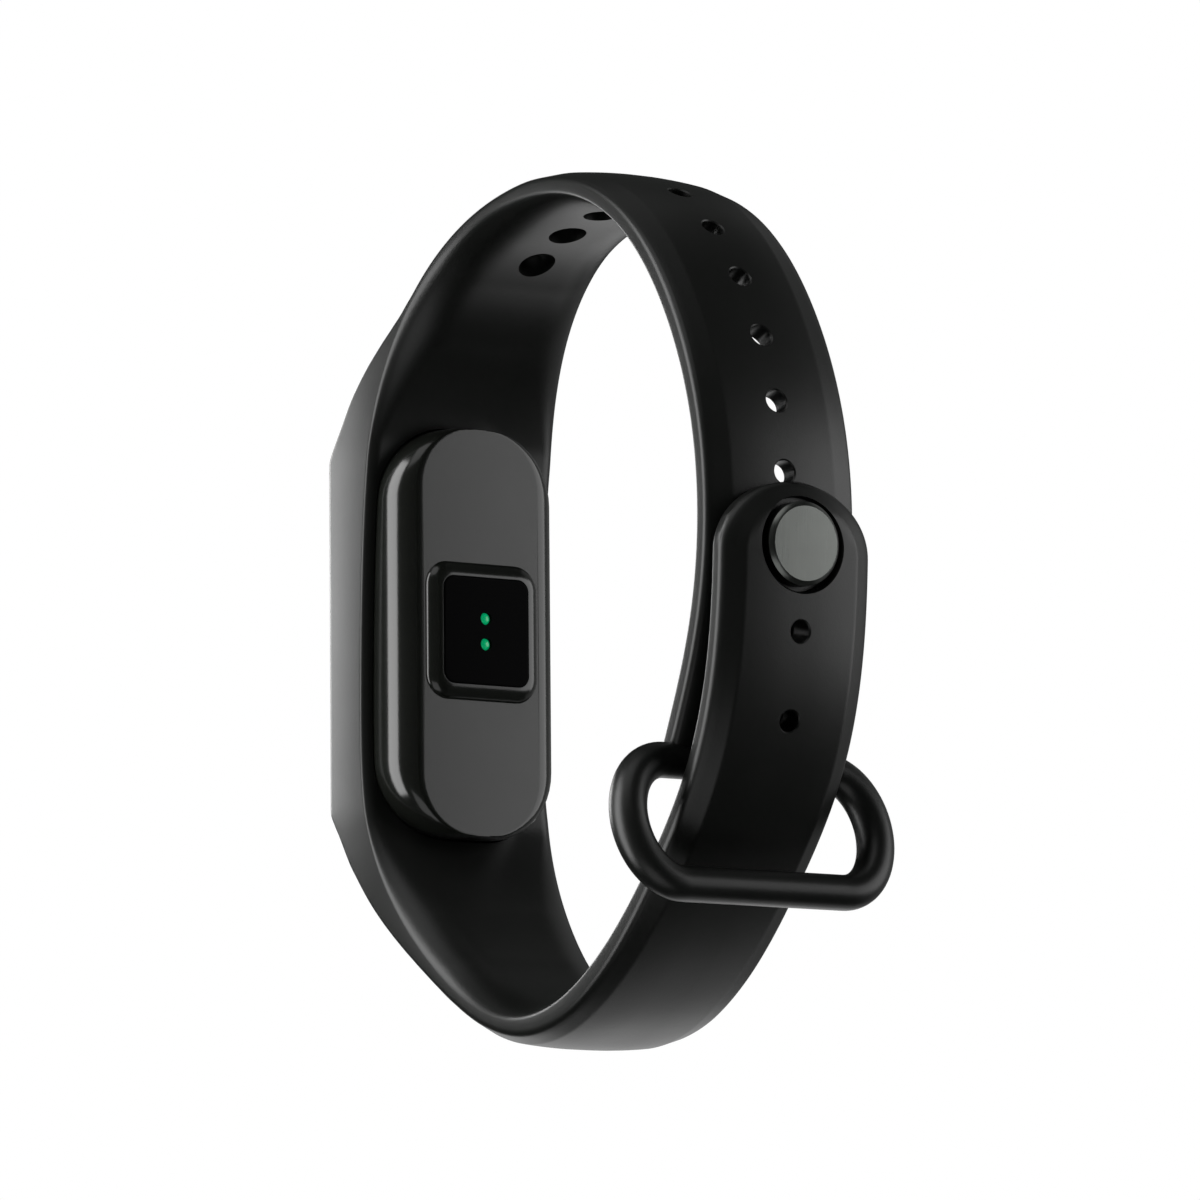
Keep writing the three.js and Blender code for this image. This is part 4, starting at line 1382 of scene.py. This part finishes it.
LIGHTS = {  # name: direction from the band, distance, width and height in metres, brightness
    "wall_panel": ((-0.97, -0.2, 0.15), 0.17, 0.09, 0.065, 6.5),
    "side_panel": ((-0.22, -0.965, 0.14), 0.6, 0.4, 1.1, 6.5),
    "back_panel": ((0.58, 0.8, 0.12), 0.6, 0.48, 0.42, 2.4),
    "far_panel": ((-0.1, 0.95, 0.1), 0.75, 0.9, 1.3, 0.2),
    "low_panel": ((0.52, -0.42, -0.66), 0.5, 0.36, 0.32, 1.0),
    "high_panel": ((0.34, -0.34, 0.83), 0.5, 0.34, 0.34, 1.1),
    "left_low_panel": ((-0.76, 0.48, -0.45), 0.5, 0.35, 0.35, 1.1),
    "under_panel": ((-0.3, 0.54, -0.79), 0.5, 0.3, 0.3, 0.7),
    "top_panel": ((-0.2, 0.1, 1.0), 0.7, 0.5, 0.5, 0.2),
}


def build_lights():
    for name, (direction, distance, width, height, brightness) in LIGHTS.items():
        data = bpy.data.lights.new(name, "AREA")
        data.shape = "RECTANGLE"
        data.size, data.size_y = width, height
        data.energy = brightness * math.pi * width * height
        light = bpy.data.objects.new(name, data)
        bpy.context.scene.collection.objects.link(light)
        towards_light = Vector(direction).normalized()
        light.location = towards_light * distance
        light.rotation_euler = towards_light.to_track_quat("Z", "Y").to_euler()
        light.visible_camera = False


def build_camera():
    """A long lens, slightly below the band, on its clasp side."""
    azimuth, elevation, roll = math.radians(57), math.radians(-7.6), math.radians(-0.45)
    level = Vector((-math.sin(azimuth), math.cos(azimuth), 0))
    forward = level * math.cos(elevation) - Vector((0, 0, math.sin(elevation)))
    side = Vector((math.cos(azimuth), math.sin(azimuth), 0))
    above = side.cross(forward)
    right = side * math.cos(roll) + above * math.sin(roll)
    up = above * math.cos(roll) - side * math.sin(roll)
    data = bpy.data.cameras.new("camera")
    data.sensor_width = 36
    data.lens = 240
    data.shift_x, data.shift_y = 0.05, 0.0167
    data.clip_start, data.clip_end = 0.01, 20
    camera = bpy.data.objects.new("camera", data)
    bpy.context.scene.collection.objects.link(camera)
    distance = 0.6897
    rotation = Matrix((right, up, -forward)).transposed()
    camera.matrix_world = Matrix.Translation(-forward * distance) @ rotation.to_4x4()
    scene = bpy.context.scene
    scene.camera = camera
    scene.view_settings.view_transform = "Standard"
    scene.view_settings.look = "None"


# ------------------------------------------------------------------ registration
GROUPS = (BandSettings, TrackerSettings, ClaspSettings, StageSettings)
OPERATORS = (
    TRACKER_OT_stage, TRACKER_OT_band, TRACKER_OT_keeper, TRACKER_OT_stud, TRACKER_OT_casing,
    TRACKER_OT_sensor, TRACKER_OT_inner_parts,
)
CLASSES = (*GROUPS, *OPERATORS, TRACKER_PT_panel)
POINTERS = dict(zip(("tracker_band", "tracker_body", "tracker_clasp", "tracker_stage"), GROUPS))


def register():
    for kind in CLASSES:
        bpy.utils.register_class(kind)
    for name, group in POINTERS.items():
        setattr(bpy.types.Scene, name, bpy.props.PointerProperty(type=group))


def unregister():
    for name in POINTERS:
        delattr(bpy.types.Scene, name)
    for kind in reversed(CLASSES):
        bpy.utils.unregister_class(kind)


def main():
    register()
    bpy.ops.tracker.stage()
    bpy.ops.tracker.band()
    bpy.ops.tracker.keeper()
    bpy.ops.tracker.stud()
    bpy.ops.tracker.casing()
    bpy.ops.tracker.sensor()
    bpy.ops.tracker.inner_parts()


if __name__ == "__main__":
    main()
